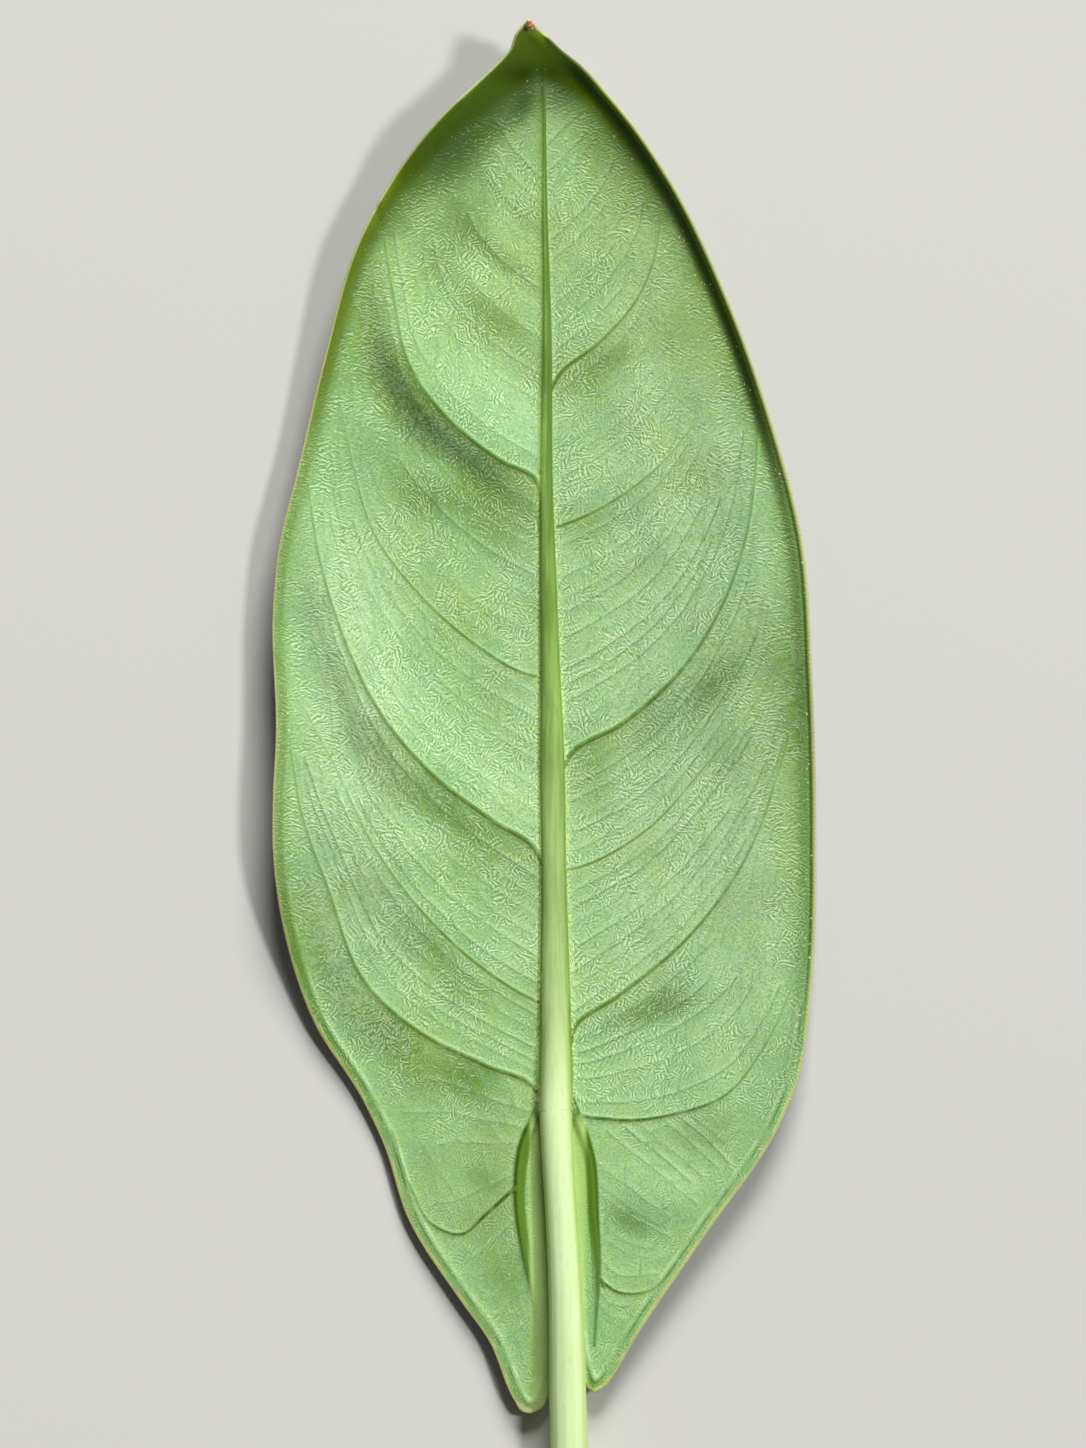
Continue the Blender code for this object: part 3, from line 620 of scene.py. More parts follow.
def soft_max(first, second, width):
    """The larger of two heights, with a fillet where they cross."""
    share = np.clip(0.5 + 0.5 * (second - first) / width, 0.0, 1.0)
    return first * (1.0 - share) + second * share + width * share * (1.0 - share)


print("stalk radius from", STALK[3][3], "to", STALK[-1][3], "mm")

# %% [markdown]
# ## The surface points
# A grid would cut across the veins. Instead the points follow the leaf: rows along the rim, the
# midrib, each side vein and each fine vein, then an even field between them. A triangulation joins
# them into a sheet, so that every vein stands on points of its own.

# %% Gather points along the lines
CELL = 0.6


class PointField:
    """Collects points of the flat sheet and leaves out any that would sit too close to another."""

    def __init__(self, start):
        self.places = []
        self.edges = []
        self.cells = {}
        for x, y in start:
            self.put(x, y)

    def put(self, x, y):
        self.places.append((x, y))
        self.cells.setdefault((int(x // CELL), int(y // CELL)), []).append((x, y))

    def clear(self, x, y, gap):
        column, row = int(x // CELL), int(y // CELL)
        for i in (column - 1, column, column + 1):
            for j in (row - 1, row, row + 1):
                for a, b in self.cells.get((i, j), ()):
                    if (a - x) ** 2 + (b - y) ** 2 < gap * gap:
                        return False
        return True

    def add(self, points, gap, joined=False):
        last = None
        for x, y in points:
            if not self.clear(x, y, gap):
                last = None
                continue
            self.put(float(x), float(y))
            here = len(self.places) - 1
            if joined and last is not None:
                self.edges.append((last, here))
            last = here

    def add_inside(self, lines, gap, joined=False):
        """Adds the parts of many lines that lie inside the outline, tested all at once."""
        inside = inside_margin(np.vstack(lines), gap)
        for line, kept in zip(lines, np.split(inside, np.cumsum([len(line) for line in lines])[:-1])):
            self.add(line[kept], gap, joined)


def even_field(step):
    """Points in rows, each row half a step along from the last."""
    low, high = MARGIN_FINE.min(axis=0), MARGIN_FINE.max(axis=0)
    rows = np.arange(low[1], high[1], step * 0.75**0.5)
    columns = np.arange(low[0], high[0], step)
    return np.array([(x + 0.5 * step * (row % 2), y) for row, y in enumerate(rows) for x in columns])


# %% Rows for the underside
MARGIN_STEP = 0.5
RIM_ROWS = (0.3, 0.65, 1.0, 1.3, 1.6, 2.0, 2.6)
MIDRIB_ROWS = (0.0, 0.18, 0.34, 0.46, 0.54, 0.66, 0.9)
STALK_ROWS = (0.0, 0.3, 0.55, 0.75, 0.9, 1.02, 1.15, 1.35, 1.6)
VEIN_ROWS = (0.25, 0.45, 0.65, 1.0)
FINE_FOOT = 0.22
FIELD_STEP = 0.56
FIELD_GAP = 0.62 * FIELD_STEP
ROOT_GAP, MIDRIB_GAP, CREST_GAP, VEIN_GAP, FINE_GAP, RIM_GAP = 0.16, 0.14, 0.2, 0.18, 0.2, 0.22


def both_sides(line, offset):
    """The line moved to one side and to the other."""
    return [beside(line, offset), beside(line, -np.asarray(offset))]


def margin_field():
    """A field that holds the closed outline, and the outline itself."""
    margin = margin_loop(MARGIN_STEP)
    field = PointField([tuple(point) for point in margin])
    field.edges = [(i, (i + 1) % len(margin)) for i in range(len(margin))]
    return field, margin


def add_rim_rows(field, margin, insets, gap):
    loop = np.vstack((margin, margin[:2]))
    for inset in insets:
        field.add_inside([beside(loop, -inset)[:-1]], gap)


def underside_points():
    field, margin = margin_field()
    root = np.arange(ROOT_TOP, -18.6, -0.45)
    middle, _, radius = stalk_at(root)
    root_line = np.column_stack((middle, root))
    for share in STALK_ROWS:
        field.add_inside(both_sides(root_line, share * radius), ROOT_GAP)
    crest = smooth_line(MIDRIB, 0.45)
    crest = crest[crest[:, 1] > ROOT_TOP]
    width = read_off(MIDRIB_WIDTH, crest[:, 1])
    for share in MIDRIB_ROWS:
        field.add_inside(both_sides(crest, share * width), MIDRIB_GAP, joined=share == 0.0)
    crests = [(VEIN_LINES[name], vein.width) for name, vein in VEINS.items()]
    field.add_inside([line for line, _ in crests], CREST_GAP, joined=True)
    for share in VEIN_ROWS:
        rows = [row for line, wide in crests for row in both_sides(line, share * wide)]
        field.add_inside(rows, VEIN_GAP)
    add_rim_rows(field, margin, RIM_ROWS, RIM_GAP)
    fine = [even_steps(line, 0.5) for line, _ in FINE_VEINS]
    field.add_inside(fine, FINE_GAP)
    field.add_inside([row for line in fine for row in both_sides(line, FINE_FOOT)], FINE_GAP)
    grid = even_field(FIELD_STEP)
    field.add(grid[inside_margin(grid, 0.4)], FIELD_GAP)
    return field, len(margin)


# %% Rows for the upper face
UPPER_STEP = 0.8
UPPER_GAP = 0.4
UPPER_VEIN_ROWS = (0.5, 1.0)
UPPER_RIM_ROWS = (0.6, 1.3, 2.2, 3.2)
UPPER_RIM_GAP = 0.45
UPPER_FIELD_STEP = 1.15
UPPER_FIELD_GAP = 0.55


def upper_points():
    field, margin = margin_field()
    main_places = [MIDRIB] + [vein.places for vein in VEINS.values()]
    lines = [smooth_line(places, UPPER_STEP) for places in main_places]
    field.add_inside(lines, UPPER_GAP)
    for offset in UPPER_VEIN_ROWS:
        field.add_inside([row for line in lines for row in both_sides(line, offset)], UPPER_GAP)
    add_rim_rows(field, margin, UPPER_RIM_ROWS, UPPER_RIM_GAP)
    grid = even_field(UPPER_FIELD_STEP)
    field.add(grid[inside_margin(grid, 0.5)], UPPER_FIELD_GAP)
    return field, len(margin)


def triangulate(field, ring):
    """Joins the points into triangles inside the outline, and finds the outline's points again."""
    flat = [Vector(place) for place in field.places]
    places, _, triangles, origins, _, _ = delaunay_2d_cdt(flat, field.edges, [list(range(ring))], 1, 1e-4)
    found = {}
    for index, sources in enumerate(origins):
        for source in sources:
            found[source] = index
    return np.array([tuple(place) for place in places]), triangles, [found[i] for i in range(ring)]


under_plan, under_faces, under_ring = triangulate(*underside_points())
upper_plan, upper_faces, upper_ring = triangulate(*upper_points())
print("underside:", len(under_faces), "triangles; upper face:", len(upper_faces))

# %% [markdown]
# ## Measures for shape and finish
# Shape and colour both depend on where a point lies: how far from the midrib, from a side vein, from
# the rim. These measures are worked out once for all points. Later the material reads them as
# attributes of the mesh, which keeps its lines exactly on the raised veins.

# %% Measure every point
FINE_RIDGE = 0.022
FINE_REACH = 0.4
LIT_SIDE = 0.3
QUILT_DEPTH = 0.035
QUILT_REACH = 0.7
SWELL_START = 0.12
SWELL_RUN = 0.8
Measures = namedtuple("Measures", (
    "rim midrib midrib_side vein vein_side vein_along swell ribs fine fine_ridge fine_lit between stalk "
    "patch"))


def nearest_sample(points, lines):
    """The distance to the nearest of many lines, which line it is, and 1 on the line's side of the
    tip or -1 on the side of the stalk."""
    samples = [even_steps(line, 0.1) for line in lines]
    heading = np.vstack([np.gradient(line, axis=0) for line in samples])
    owner = np.repeat(np.arange(len(lines)), [len(line) for line in samples])
    tree = KDTree(len(owner))
    for index, (x, y) in enumerate(np.vstack(samples)):
        tree.insert((x, y, 0.0), index)
    tree.balance()
    found = [tree.find((x, y, 0.0)) for x, y in points]
    index = np.array([hit[1] for hit in found])
    offset = points - np.array([hit[0][:2] for hit in found])
    turned = heading[index, 0] * offset[:, 1] - heading[index, 1] * offset[:, 0]
    return np.array([hit[2] for hit in found]), owner[index], np.sign(turned * heading[index, 0])


def swell_along(points, entry, away, share, tipwards):
    """The soft swell of the blade along a vein or fold. It doesn't cross the midrib."""
    middle = np.interp(points[:, 1], MIDRIB_FINE[:, 1], MIDRIB_FINE[:, 0])
    own_side = soft_step((points[:, 0] - middle) * np.sign(entry.places[-1][0]), -1.5, 2.5)
    reach = np.where(tipwards > 0, entry.reach_up, entry.reach_down)
    fade = np.sin(np.pi * (SWELL_START + SWELL_RUN * share))
    return entry.swell * fade * own_side * np.exp(-((away / reach) ** 2))


# Patches of painted shade, where the blade dips between two veins.
Patch = namedtuple("Patch", "x y long wide turn strength")
SHADE_PATCHES = [
    Patch(10.2, -29.6, 4.4, 2.6, -25.0, 0.6),
    Patch(-8.5, -24.4, 4.0, 2.2, -20.0, 0.5),
    Patch(21.6, 40.4, 7.0, 3.0, 50.0, 0.6),
    Patch(8.3, 82.0, 3.6, 2.0, 30.0, 0.5),
    Patch(13.0, -2.4, 6.5, 2.2, 20.0, 0.7),
    Patch(-2.5, 118.7, 4.5, 1.5, 0.0, 1.0),
    Patch(-3.6, 115.2, 3.4, 1.6, 70.0, 0.8),
    Patch(-11.0, 108.5, 7.0, 3.4, 42.0, 0.7),
    Patch(-12.5, 98.0, 8.0, 4.5, 52.0, 0.6),
]


def shade_patch_share(points):
    """How far a point lies in one of the patches of painted shade where the blade dips between two veins.
    """
    share = np.zeros(len(points))
    for patch in SHADE_PATCHES:
        turn = np.radians(patch.turn)
        offset = points - np.array((patch.x, patch.y))
        along = (offset @ np.array((np.cos(turn), np.sin(turn)))) / patch.long
        across = (offset @ np.array((-np.sin(turn), np.cos(turn)))) / patch.wide
        share = np.maximum(share, patch.strength * np.exp(-(along**2 + across**2)))
    return share


def measure(points):
    rim = distance_to_margin(points)
    away, share, side = closest_on_line(points, MIDRIB_FINE)
    width = read_off(MIDRIB_WIDTH, MIDRIB_FINE[0, 1] + share * np.ptp(MIDRIB_FINE[:, 1]))
    midrib = away - width / 2
    midrib_side = -side * away
    ribs = ridge(away, width, MIDRIB_HEIGHT_TO_WIDTH * width)
    vein = np.full(len(points), np.inf)
    vein_side, vein_along, swell = (np.zeros(len(points)) for _ in range(3))
    for name, entry in VEINS.items():
        away, share, side = closest_on_line(points, VEIN_LINES[name])
        taper = 1.0 - (1.0 - VEIN_END_SHARE) * share
        ribs = np.maximum(ribs, ridge(away, entry.width * taper, entry.height * taper))
        tipwards = side * np.sign(entry.places[-1][0])
        gap = away - entry.width * taper / 2
        nearer = gap < vein
        vein = np.where(nearer, gap, vein)
        vein_side = np.where(nearer, tipwards * away, vein_side)
        vein_along = np.where(nearer, share, vein_along)
    for fold in list(VEINS.values()) + FOLDS:
        away, share, side = closest_on_line(points, smooth_line(fold.places, 1.5))
        swell += swell_along(points, fold, away, share, side * np.sign(fold.places[-1][0]))
    distance, owner, tipwards = nearest_sample(points, [line for line, _ in FINE_VEINS])
    strength = np.array([value for _, value in FINE_VEINS])[owner]
    fine = strength * np.clip(1.0 - distance / FINE_FOOT, 0.0, 1.0)
    fine_ridge = strength * np.exp(-((distance / FINE_REACH) ** 2))
    # fine_lit is where a painted highlight goes, on the tip side of each fine vein.
    fine_lit = strength * np.exp(-(((distance - LIT_SIDE) / LIT_SIDE) ** 2)) * (tipwards > 0)
    between = np.minimum(np.minimum(distance, np.maximum(vein, 0.0)), np.maximum(midrib, 0.0))
    return Measures(rim, midrib, midrib_side, vein, vein_side, vein_along, swell, ribs, fine, fine_ridge,
                    fine_lit, between, stalk_share(points, midrib), shade_patch_share(points))


under = measure(under_plan)
upper = measure(upper_plan)
print("measured", len(under_plan) + len(upper_plan), "points")

# %% [markdown]
# ## The blade's mesh
# A leaf blade is thin, thinner still at the rim, and the veins stand out of its underside only. The
# upper face has fine grooves over them instead. A Solidify modifier would give both faces the same
# form, so the two faces are built apart and joined by a narrow rounded rim.

# %% Build the blade
RIM_THICKNESS = 0.36
RIM_BULGE = 0.12
RIM_TURNS = np.radians((40.0, 90.0, 140.0))
RIM_VEIN_WIDTH = 0.9
RIM_VEIN_HEIGHT = 0.16
ROOT_FILLET = 0.55
GROOVE_DEPTH = 0.12
GROOVE_REACH = 0.4
SLOPE_ROUNDS = 12
FAR = 9.0
LARGEST_MEASURE = 50.0
MESH_MEASURES = (
    "rim", "midrib", "midrib_side", "vein", "vein_side", "vein_along", "fine", "fine_lit", "stalk",
    "patch",
)


def form_height(plan, found):
    """The blade's own form without veins and thickness."""
    return (
        REST_CLEARANCE + cup_height(plan, found.rim) + found.swell
        + unevenness(plan) * soft_step(found.rim, 0.0, 6.0)
    )


def underside_height(plan, found):
    quilt = QUILT_DEPTH * (1.0 - 0.5 * soft_step(plan[:, 1], 60.0, 100.0))
    relief = (
        found.ribs + ridge(np.abs(found.rim - RIM_VEIN_INSET), RIM_VEIN_WIDTH, RIM_VEIN_HEIGHT)
        + FINE_RIDGE * found.fine_ridge
        - quilt * (1.0 - np.exp(-((found.between / QUILT_REACH) ** 2))) * soft_step(found.rim, 0.0, 3.0)
    )
    blade = form_height(plan, found) + BLADE_THICKNESS + relief
    near = plan[:, 1] < ROOT_TOP + 2.0
    joined = soft_max(blade, stalk_crown(plan), ROOT_FILLET)
    return np.where(near, np.maximum(blade, joined), blade)


def upper_height(plan, found):
    thin = (BLADE_THICKNESS - RIM_THICKNESS) * (1.0 - soft_step(found.rim, 0.0, 6.0))
    groove = GROOVE_DEPTH * np.exp(-((np.maximum(found.vein, 0.0) / GROOVE_REACH) ** 2))
    groove *= soft_step(found.rim, 0.3, 2.0)
    return (form_height(plan, found) + thin + groove) * rest_share(plan)


def rim_rows(top, bottom, plan):
    """Rows of points round the edge, from the underside to the upper face."""
    loop = np.vstack((plan[-1:], plan, plan[:1]))
    outward = (beside(loop, 1.0) - loop)[1:-1]
    rows = []
    for turn in RIM_TURNS:
        place = plan + outward * RIM_BULGE * np.sin(turn)
        height = (top + bottom) / 2 + (top - bottom) / 2 * np.cos(turn)
        rows.append(np.column_stack((place, height)))
    return rows


def index_rings(first, count, around):
    """The numbers of the points in rings that follow one another."""
    return [range(start, start + around) for start in range(first, first + count * around, around)]


def walls(rings):
    """The faces between each ring of points and the next."""
    return [
        (above[i], above[j], below[j], below[i])
        for above, below in zip(rings[:-1], rings[1:])
        for i, j in enumerate([*range(1, len(above)), 0])]


def solid_piece(name, places, faces, slots):
    """An object of these points and faces, with the number of each face's finish."""
    mesh = bpy.data.meshes.new(name)
    mesh.from_pydata((places * MM).tolist(), [], faces)
    shape = bmesh.new()
    shape.from_mesh(mesh)
    bmesh.ops.recalc_face_normals(shape, faces=shape.faces)
    shape.to_mesh(mesh)
    shape.free()
    mesh.polygons.foreach_set("material_index", slots)
    mesh.shade_smooth()
    return add_object(name, mesh)


def store(piece, name, values):
    """Keeps a value for every point of the mesh, which the finishes can read."""
    layer = piece.data.attributes.new(name, "FLOAT", "POINT")
    layer.data.foreach_set("value", values.astype(np.float32))


def make_blade():
    top = underside_height(under_plan, under)
    bottom = upper_height(upper_plan, upper)
    rows = rim_rows(top[under_ring], bottom[upper_ring], under_plan[under_ring])
    places = np.vstack([np.column_stack((under_plan, top)), np.column_stack((upper_plan, bottom))] + rows)
    shift = len(under_plan)
    faces = [tuple(face) for face in under_faces]
    faces += [tuple(index + shift for index in face) for face in upper_faces]
    between = index_rings(shift + len(upper_plan), len(rows), len(under_ring))
    wall = walls([under_ring, *between, [index + shift for index in upper_ring]])
    slots = np.repeat((0, 1, 0), (len(under_faces), len(upper_faces), len(wall))).astype(np.int32)
    blade = solid_piece("leaf_blade", places, faces + wall, slots)
    for name in MESH_MEASURES:
        at_edge = FAR if name in ("midrib", "vein") else 0.0
        values = np.concatenate((
            getattr(under, name), getattr(upper, name), np.full(len(rows) * len(under_ring), at_edge)))
        store(blade, name, np.clip(values, -LARGEST_MEASURE, LARGEST_MEASURE))
    return blade


def mark_broad_slope(blade):
    """Stores for each point how far the broad form falls towards the main panel, without the veins and the
    grain. The underside's finish paints sheen and shade by it."""
    mesh = blade.data
    values = np.empty(len(mesh.vertices) * 3)
    mesh.vertices.foreach_get("normal", values)
    slope = values.reshape(-1, 3) @ np.array((np.cos(MAIN_PANEL_TURN), np.sin(MAIN_PANEL_TURN), 0.0))
    edges = np.empty(len(mesh.edges) * 2, np.int32)
    mesh.edges.foreach_get("vertices", edges)
    edges = edges.reshape(-1, 2)
    shares = np.bincount(edges.ravel(), minlength=len(slope)) + 1.0
    for _ in range(SLOPE_ROUNDS):
        total = slope.copy()
        np.add.at(total, edges[:, 0], slope[edges[:, 1]])
        np.add.at(total, edges[:, 1], slope[edges[:, 0]])
        slope = total / shares
    store(blade, "slope", slope)
    return slope


blade = make_blade()
slope = mark_broad_slope(blade)
print("broad slope towards the main panel from", slope.min().round(2), "to", slope.max().round(2))
print("blade:", len(blade.data.polygons), "faces, size", [round(v / MM, 1) for v in blade.dimensions])

# %% [markdown]
# ## The stalk's mesh
# The stalk is a round bar with very shallow ribs lengthwise, and its lower end is a clean cut. A curve
# with a bevel would do for a plain bar. Rings of points allow the ribs and a cut face with a rounded
# edge. Its root sinks a little into the midrib, which carries on its form there.

# %% Build the stalk
AROUND = 56
STALK_STEP = 0.8
STALK_START = -12.0
RIB_COUNT = 13
RIB_HEIGHT = 0.008
RIB_TWIST = 0.06
SINK_DEPTH = 0.25
SINK_END = 16.0
CUT_ROWS = (0.97, 0.9, 0.7, 0.45, 0.2)
CUT_DIP = 0.1
CUT_EDGE = 0.03
CUT_MIDDLE = 0.02


def make_stalk():
    line = smooth_line(STALK, STALK_STEP)
    line = line[line[:, 1] < STALK_START]
    along = np.gradient(line[:, :3], axis=0)
    along /= np.linalg.norm(along, axis=1)[:, None]
    turn = np.linspace(0.0, 2 * np.pi, AROUND, endpoint=False)
    sink = SINK_DEPTH * (1.0 - soft_step(-line[:, 1], -STALK_START, SINK_END))
    rings = []
    for place, direction, radius, sunk in zip(line[:, :3], along, line[:, 3], sink):
        side = np.cross((0.0, 0.0, 1.0), direction)
        side /= np.linalg.norm(side)
        up = np.cross(direction, side)
        ribbed = RIB_HEIGHT * soft_step(-place[1], 20.0, 32.0)
        out = radius - sunk + ribbed * radius * np.cos(RIB_COUNT * turn + RIB_TWIST * place[1])
        rings.append(place + np.outer(out * np.cos(turn), side) + np.outer(out * np.sin(turn), up))
    last, end = rings[-1], line[-1, :3]
    for share in CUT_ROWS:
        dip = CUT_DIP * (1.0 - ((share - 0.55) / 0.45) ** 2) if share < 0.95 else -CUT_EDGE
        rings.append(end + (last - end) * share + along[-1] * -dip)
    places = np.vstack(rings + [rings[0].mean(axis=0), end - CUT_MIDDLE * along[-1]])
    ring_numbers = index_rings(0, len(rings), AROUND)
    faces = walls(ring_numbers)
    root_middle, cut_middle = len(places) - 2, len(places) - 1
    for i, j in enumerate([*range(1, AROUND), 0]):
        faces.append((j, i, root_middle))
        faces.append((ring_numbers[-1][i], ring_numbers[-1][j], cut_middle))
    slots = np.zeros(len(faces), np.int32)
    slots[(len(line) - 1) * AROUND:(len(rings) - 1) * AROUND] = 1
    slots[-2 * AROUND + 1::2] = 1
    return solid_piece("leaf_stalk", places, faces, slots)


stalk = make_stalk()
print("stalk:", len(stalk.data.polygons), "faces, size", [round(v / MM, 1) for v in stalk.dimensions])

# %% [markdown]
# ## The dried point
# The drawn-out point of the blade has dried to a small hard bead. It is a sphere drawn out to one side,
# sunk into the hooked tip, with a few dents so that it doesn't look turned.

# %% Build the dried point
POINT_SIZE = (0.62, 0.85, 0.5)
POINT_TAPER = 0.4
POINT_DENT = 0.09
POINT_RAISED = np.radians(30.0)
POINT_SEAT = Vector((0.1, -0.7, 0.25))


def make_point():
    shape = bmesh.new()
    bmesh.ops.create_uvsphere(shape, u_segments=28, v_segments=20, radius=1.0)
    for vertex in shape.verts:
        sphere = vertex.co.copy()
        dent = 1.0 + POINT_DENT * np.sin(5.0 * sphere.x + 3.0 * sphere.y) * np.sin(4.0 * sphere.z + 2.0)
        narrow = dent * (1.0 - POINT_TAPER * (0.5 + 0.5 * sphere.y))
        place = Vector((sphere.x * narrow, sphere.y, sphere.z * narrow)) * Vector(POINT_SIZE)
        place.rotate(Euler((POINT_RAISED, 0.0, TIP_HOOK_TURN)))
        vertex.co = place * MM
    mesh = bpy.data.meshes.new("leaf_tip")
    shape.to_mesh(mesh)
    shape.free()
    mesh.shade_smooth()
    nearest = min(blade.data.vertices, key=lambda vertex: (vertex.co.xy - Vector(TIP) * MM).length)
    mesh.transform(Matrix.Translation(nearest.co + POINT_SEAT * MM))
    return add_object("leaf_tip", mesh)


point = make_point()
print("dried point:", [round(v / MM, 2) for v in point.dimensions], "mm")

# %% [markdown]
# ## Helpers for finishes
# A finish is a network of nodes that ends in one shader. Setting each node and link by hand makes
# long code, so each helper adds one node, feeds its inputs and hands back its output for the next.


# %% Node helpers
def new_finish(name):
    """Starts a material. The helpers below add their nodes to the one started last."""
    global tree, place
    material = bpy.data.materials.new(name)
    material.use_nodes = True
    tree = material.node_tree
    place = scaled(node("ShaderNodeTexCoord", {}, "Object"), (1 / MM, 1 / MM, 1 / MM))
    return material


def feed(socket, value):
    if isinstance(value, bpy.types.NodeSocket):
        tree.links.new(value, socket)
    else:
        socket.default_value = value


def node(kind, inputs, output=0, **settings):
    made = tree.nodes.new(kind)
    for name, value in settings.items():
        setattr(made, name, value)
    for key, value in inputs.items():
        feed(made.inputs[key], value)
    return made.outputs[output]


def scaled(vector, factors):
    return node("ShaderNodeVectorMath", {0: vector, 1: factors}, operation="MULTIPLY")


def attribute(name):
    """One of the measures stored on the blade."""
    return node("ShaderNodeAttribute", {}, 2, attribute_name=name)


def math(operation, first, second=0):
    return node("ShaderNodeMath", {0: first, 1: second}, operation=operation)


def away_from(value, centre):
    return math("ABSOLUTE", math("SUBTRACT", value, centre))


def times(*values):
    total = values[0]
    for value in values[1:]:
        total = math("MULTIPLY", total, value)
    return total


def fade(value, start, end, low=0, high=1):
    """Low before start and high after end; start may be the larger of the two."""
    inputs = {0: value, 1: start, 2: end, 3: low, 4: high}
    return node("ShaderNodeMapRange", inputs, interpolation_type="SMOOTHSTEP")


def mix_values(share, first, second):
    return node("ShaderNodeMix", {0: share, 2: first, 3: second}, data_type="FLOAT")


def layered(colour, *layers):
    """The colour with one layer laid over another. A layer is its tint and then the shares that,
    multiplied, say how strongly it covers."""
    for tint, *shares in layers:
        colour = node("ShaderNodeMix", {0: times(*shares), 6: colour, 7: tint}, 2, data_type="RGBA")
    return colour


def noise(scale, stretch=(1, 1, 1), detail=2, roughness=0.5, distortion=0):
    inputs = {"Vector": scaled(place, stretch), "Scale": scale, "Detail": detail,
              "Roughness": roughness, "Distortion": distortion}
    return node("ShaderNodeTexNoise", inputs)


def cells(scale, stretch=(1, 1, 1)):
    return node("ShaderNodeTexVoronoi", {"Vector": scaled(place, stretch), "Scale": scale})


def bump(height, depth_mm, normal=None):
    inputs = {"Height": height, "Distance": depth_mm * MM, "Strength": 1}
    if normal is not None:
        inputs["Normal"] = normal
    return node("ShaderNodeBump", inputs)


def surface(colour, roughness, normal, specular=0.5):
    """Feeds the material's shader."""
    values = {"Base Color": colour, "Roughness": roughness, "Normal": normal,
              "Specular IOR Level": specular}
    for name, value in values.items():
        feed(tree.nodes["Principled BSDF"].inputs[name], value)


print("node helpers ready")

# %% [markdown]
# Seen close, the skin is covered with patches of short parallel strokes that meet at all angles. One
# noise can't draw that. Here the plane is cut into cells, and each cell carries a wave that runs in
# a direction of its own.

# %% Patches of strokes
BEND = 0.8
BEND_SCALE = 0.8
ACROSS_ANGLES = (1.1, 2.04)
CELL_EDGE = (0.85, 0.5)


def hatching(cell_mm, pitch_mm, level):
    """Patches of short strokes, from -1 to 1. Every cell has its own direction and strength, and
    where level is 1 the strokes all run across the leaf."""
    bend = node("ShaderNodeTexNoise", {"Vector": place, "Scale": BEND_SCALE, "Detail": 1}, 1)
    bent = node(
        "ShaderNodeVectorMath", {0: bend, 1: (BEND, BEND, BEND), 2: place}, operation="MULTIPLY_ADD")
    cell = node(
        "ShaderNodeTexVoronoi", {"Vector": bent, "Scale": 1 / cell_mm}, voronoi_dimensions="2D").node
    random = node("ShaderNodeSeparateXYZ", {0: cell.outputs["Color"]}).node.outputs
    from_cell = node("ShaderNodeVectorMath", {0: bent, 1: cell.outputs["Position"]}, operation="SUBTRACT")
    offset = node("ShaderNodeSeparateXYZ", {0: from_cell}).node.outputs
    angle = mix_values(level, times(random[0], np.pi), fade(random[0], 0, 1, *ACROSS_ANGLES))
    run = math("ADD", times(offset[0], math("COSINE", angle)), times(offset[1], math("SINE", angle)))
    turned = math("ADD", times(run, 2 * np.pi / pitch_mm), times(random[1], 2 * np.pi))
    return times(math("SINE", turned), times(
        fade(random[2], 0, 1, 0.4, 1), fade(cell.outputs["Distance"], *CELL_EDGE)))


print("stroke bend of", BEND, "mm")

# %% [markdown]
# ## The stalk's finish
# The stalk is pale yellow-green and slightly shiny, with fine lengthwise streaks and a greener line
# down each side, which is painted shade where the round bar turns away. The noise is stretched along
# Y, the way the stalk runs, which draws the streaks without any texture image.

# %% Stalk colours
PALE_STALK = linear(216, 236, 180)
STREAKED_STALK = linear(208, 230, 166)
GREEN_FLECK = linear(196, 220, 148)
STALK_SIDE_SHADE = linear(184, 212, 112)
PITH_PALE = linear(222, 230, 186)
PITH_GREEN = linear(196, 212, 150)
STRAND_GREEN = linear(140, 160, 96)


def stalk_colour():
    """The stalk's colour, and its streaks for the bump."""
    streaks = noise(2.6, (1, 0.03, 1), 3, 0.6)
    flecks = noise(1.1, (1, 0.35, 1), 2, 0.6)
    facing = node("ShaderNodeNewGeometry", {}, "Normal")
    sideways = math("ABSOLUTE", node("ShaderNodeSeparateXYZ", {0: facing}))
    return layered(
        PALE_STALK,
        (STREAKED_STALK, fade(streaks, 0.35, 0.68)),
        (GREEN_FLECK, fade(flecks, 0.58, 0.75, 0, 0.6)),
        # The greener sides are painted shade where the round bar turns away.
        (STALK_SIDE_SHADE, fade(sideways, 0.55, 0.98, 0, 0.8))), streaks


def stalk_skin():
    material = new_finish("stalk_skin")
    colour, streaks = stalk_colour()
    grain = noise(5, (1, 0.25, 1))
    surface(colour, fade(grain, 0.3, 0.7, 0.34, 0.5), bump(grain, 0.015, bump(streaks, 0.02)), 0.4)
    return material


def cut_face():
    """Moist, pale and spongy, with darker dots where the strands of the stalk end."""
    material = new_finish("stalk_cut_face")
    pith = noise(3, detail=3)
    dots = fade(cells(1.6), 0.22, 0.1)
    colour = layered(PITH_PALE, (PITH_GREEN, fade(pith, 0.3, 0.7)), (STRAND_GREEN, dots, 0.7))
    surface(colour, fade(pith, 0.3, 0.7, 0.3, 0.55), bump(pith, 0.08, bump(dots, -0.05)))
    return material


stalk.data.materials.append(stalk_skin())
stalk.data.materials.append(cut_face())
print("stalk finishes:", [material.name for material in stalk.data.materials])
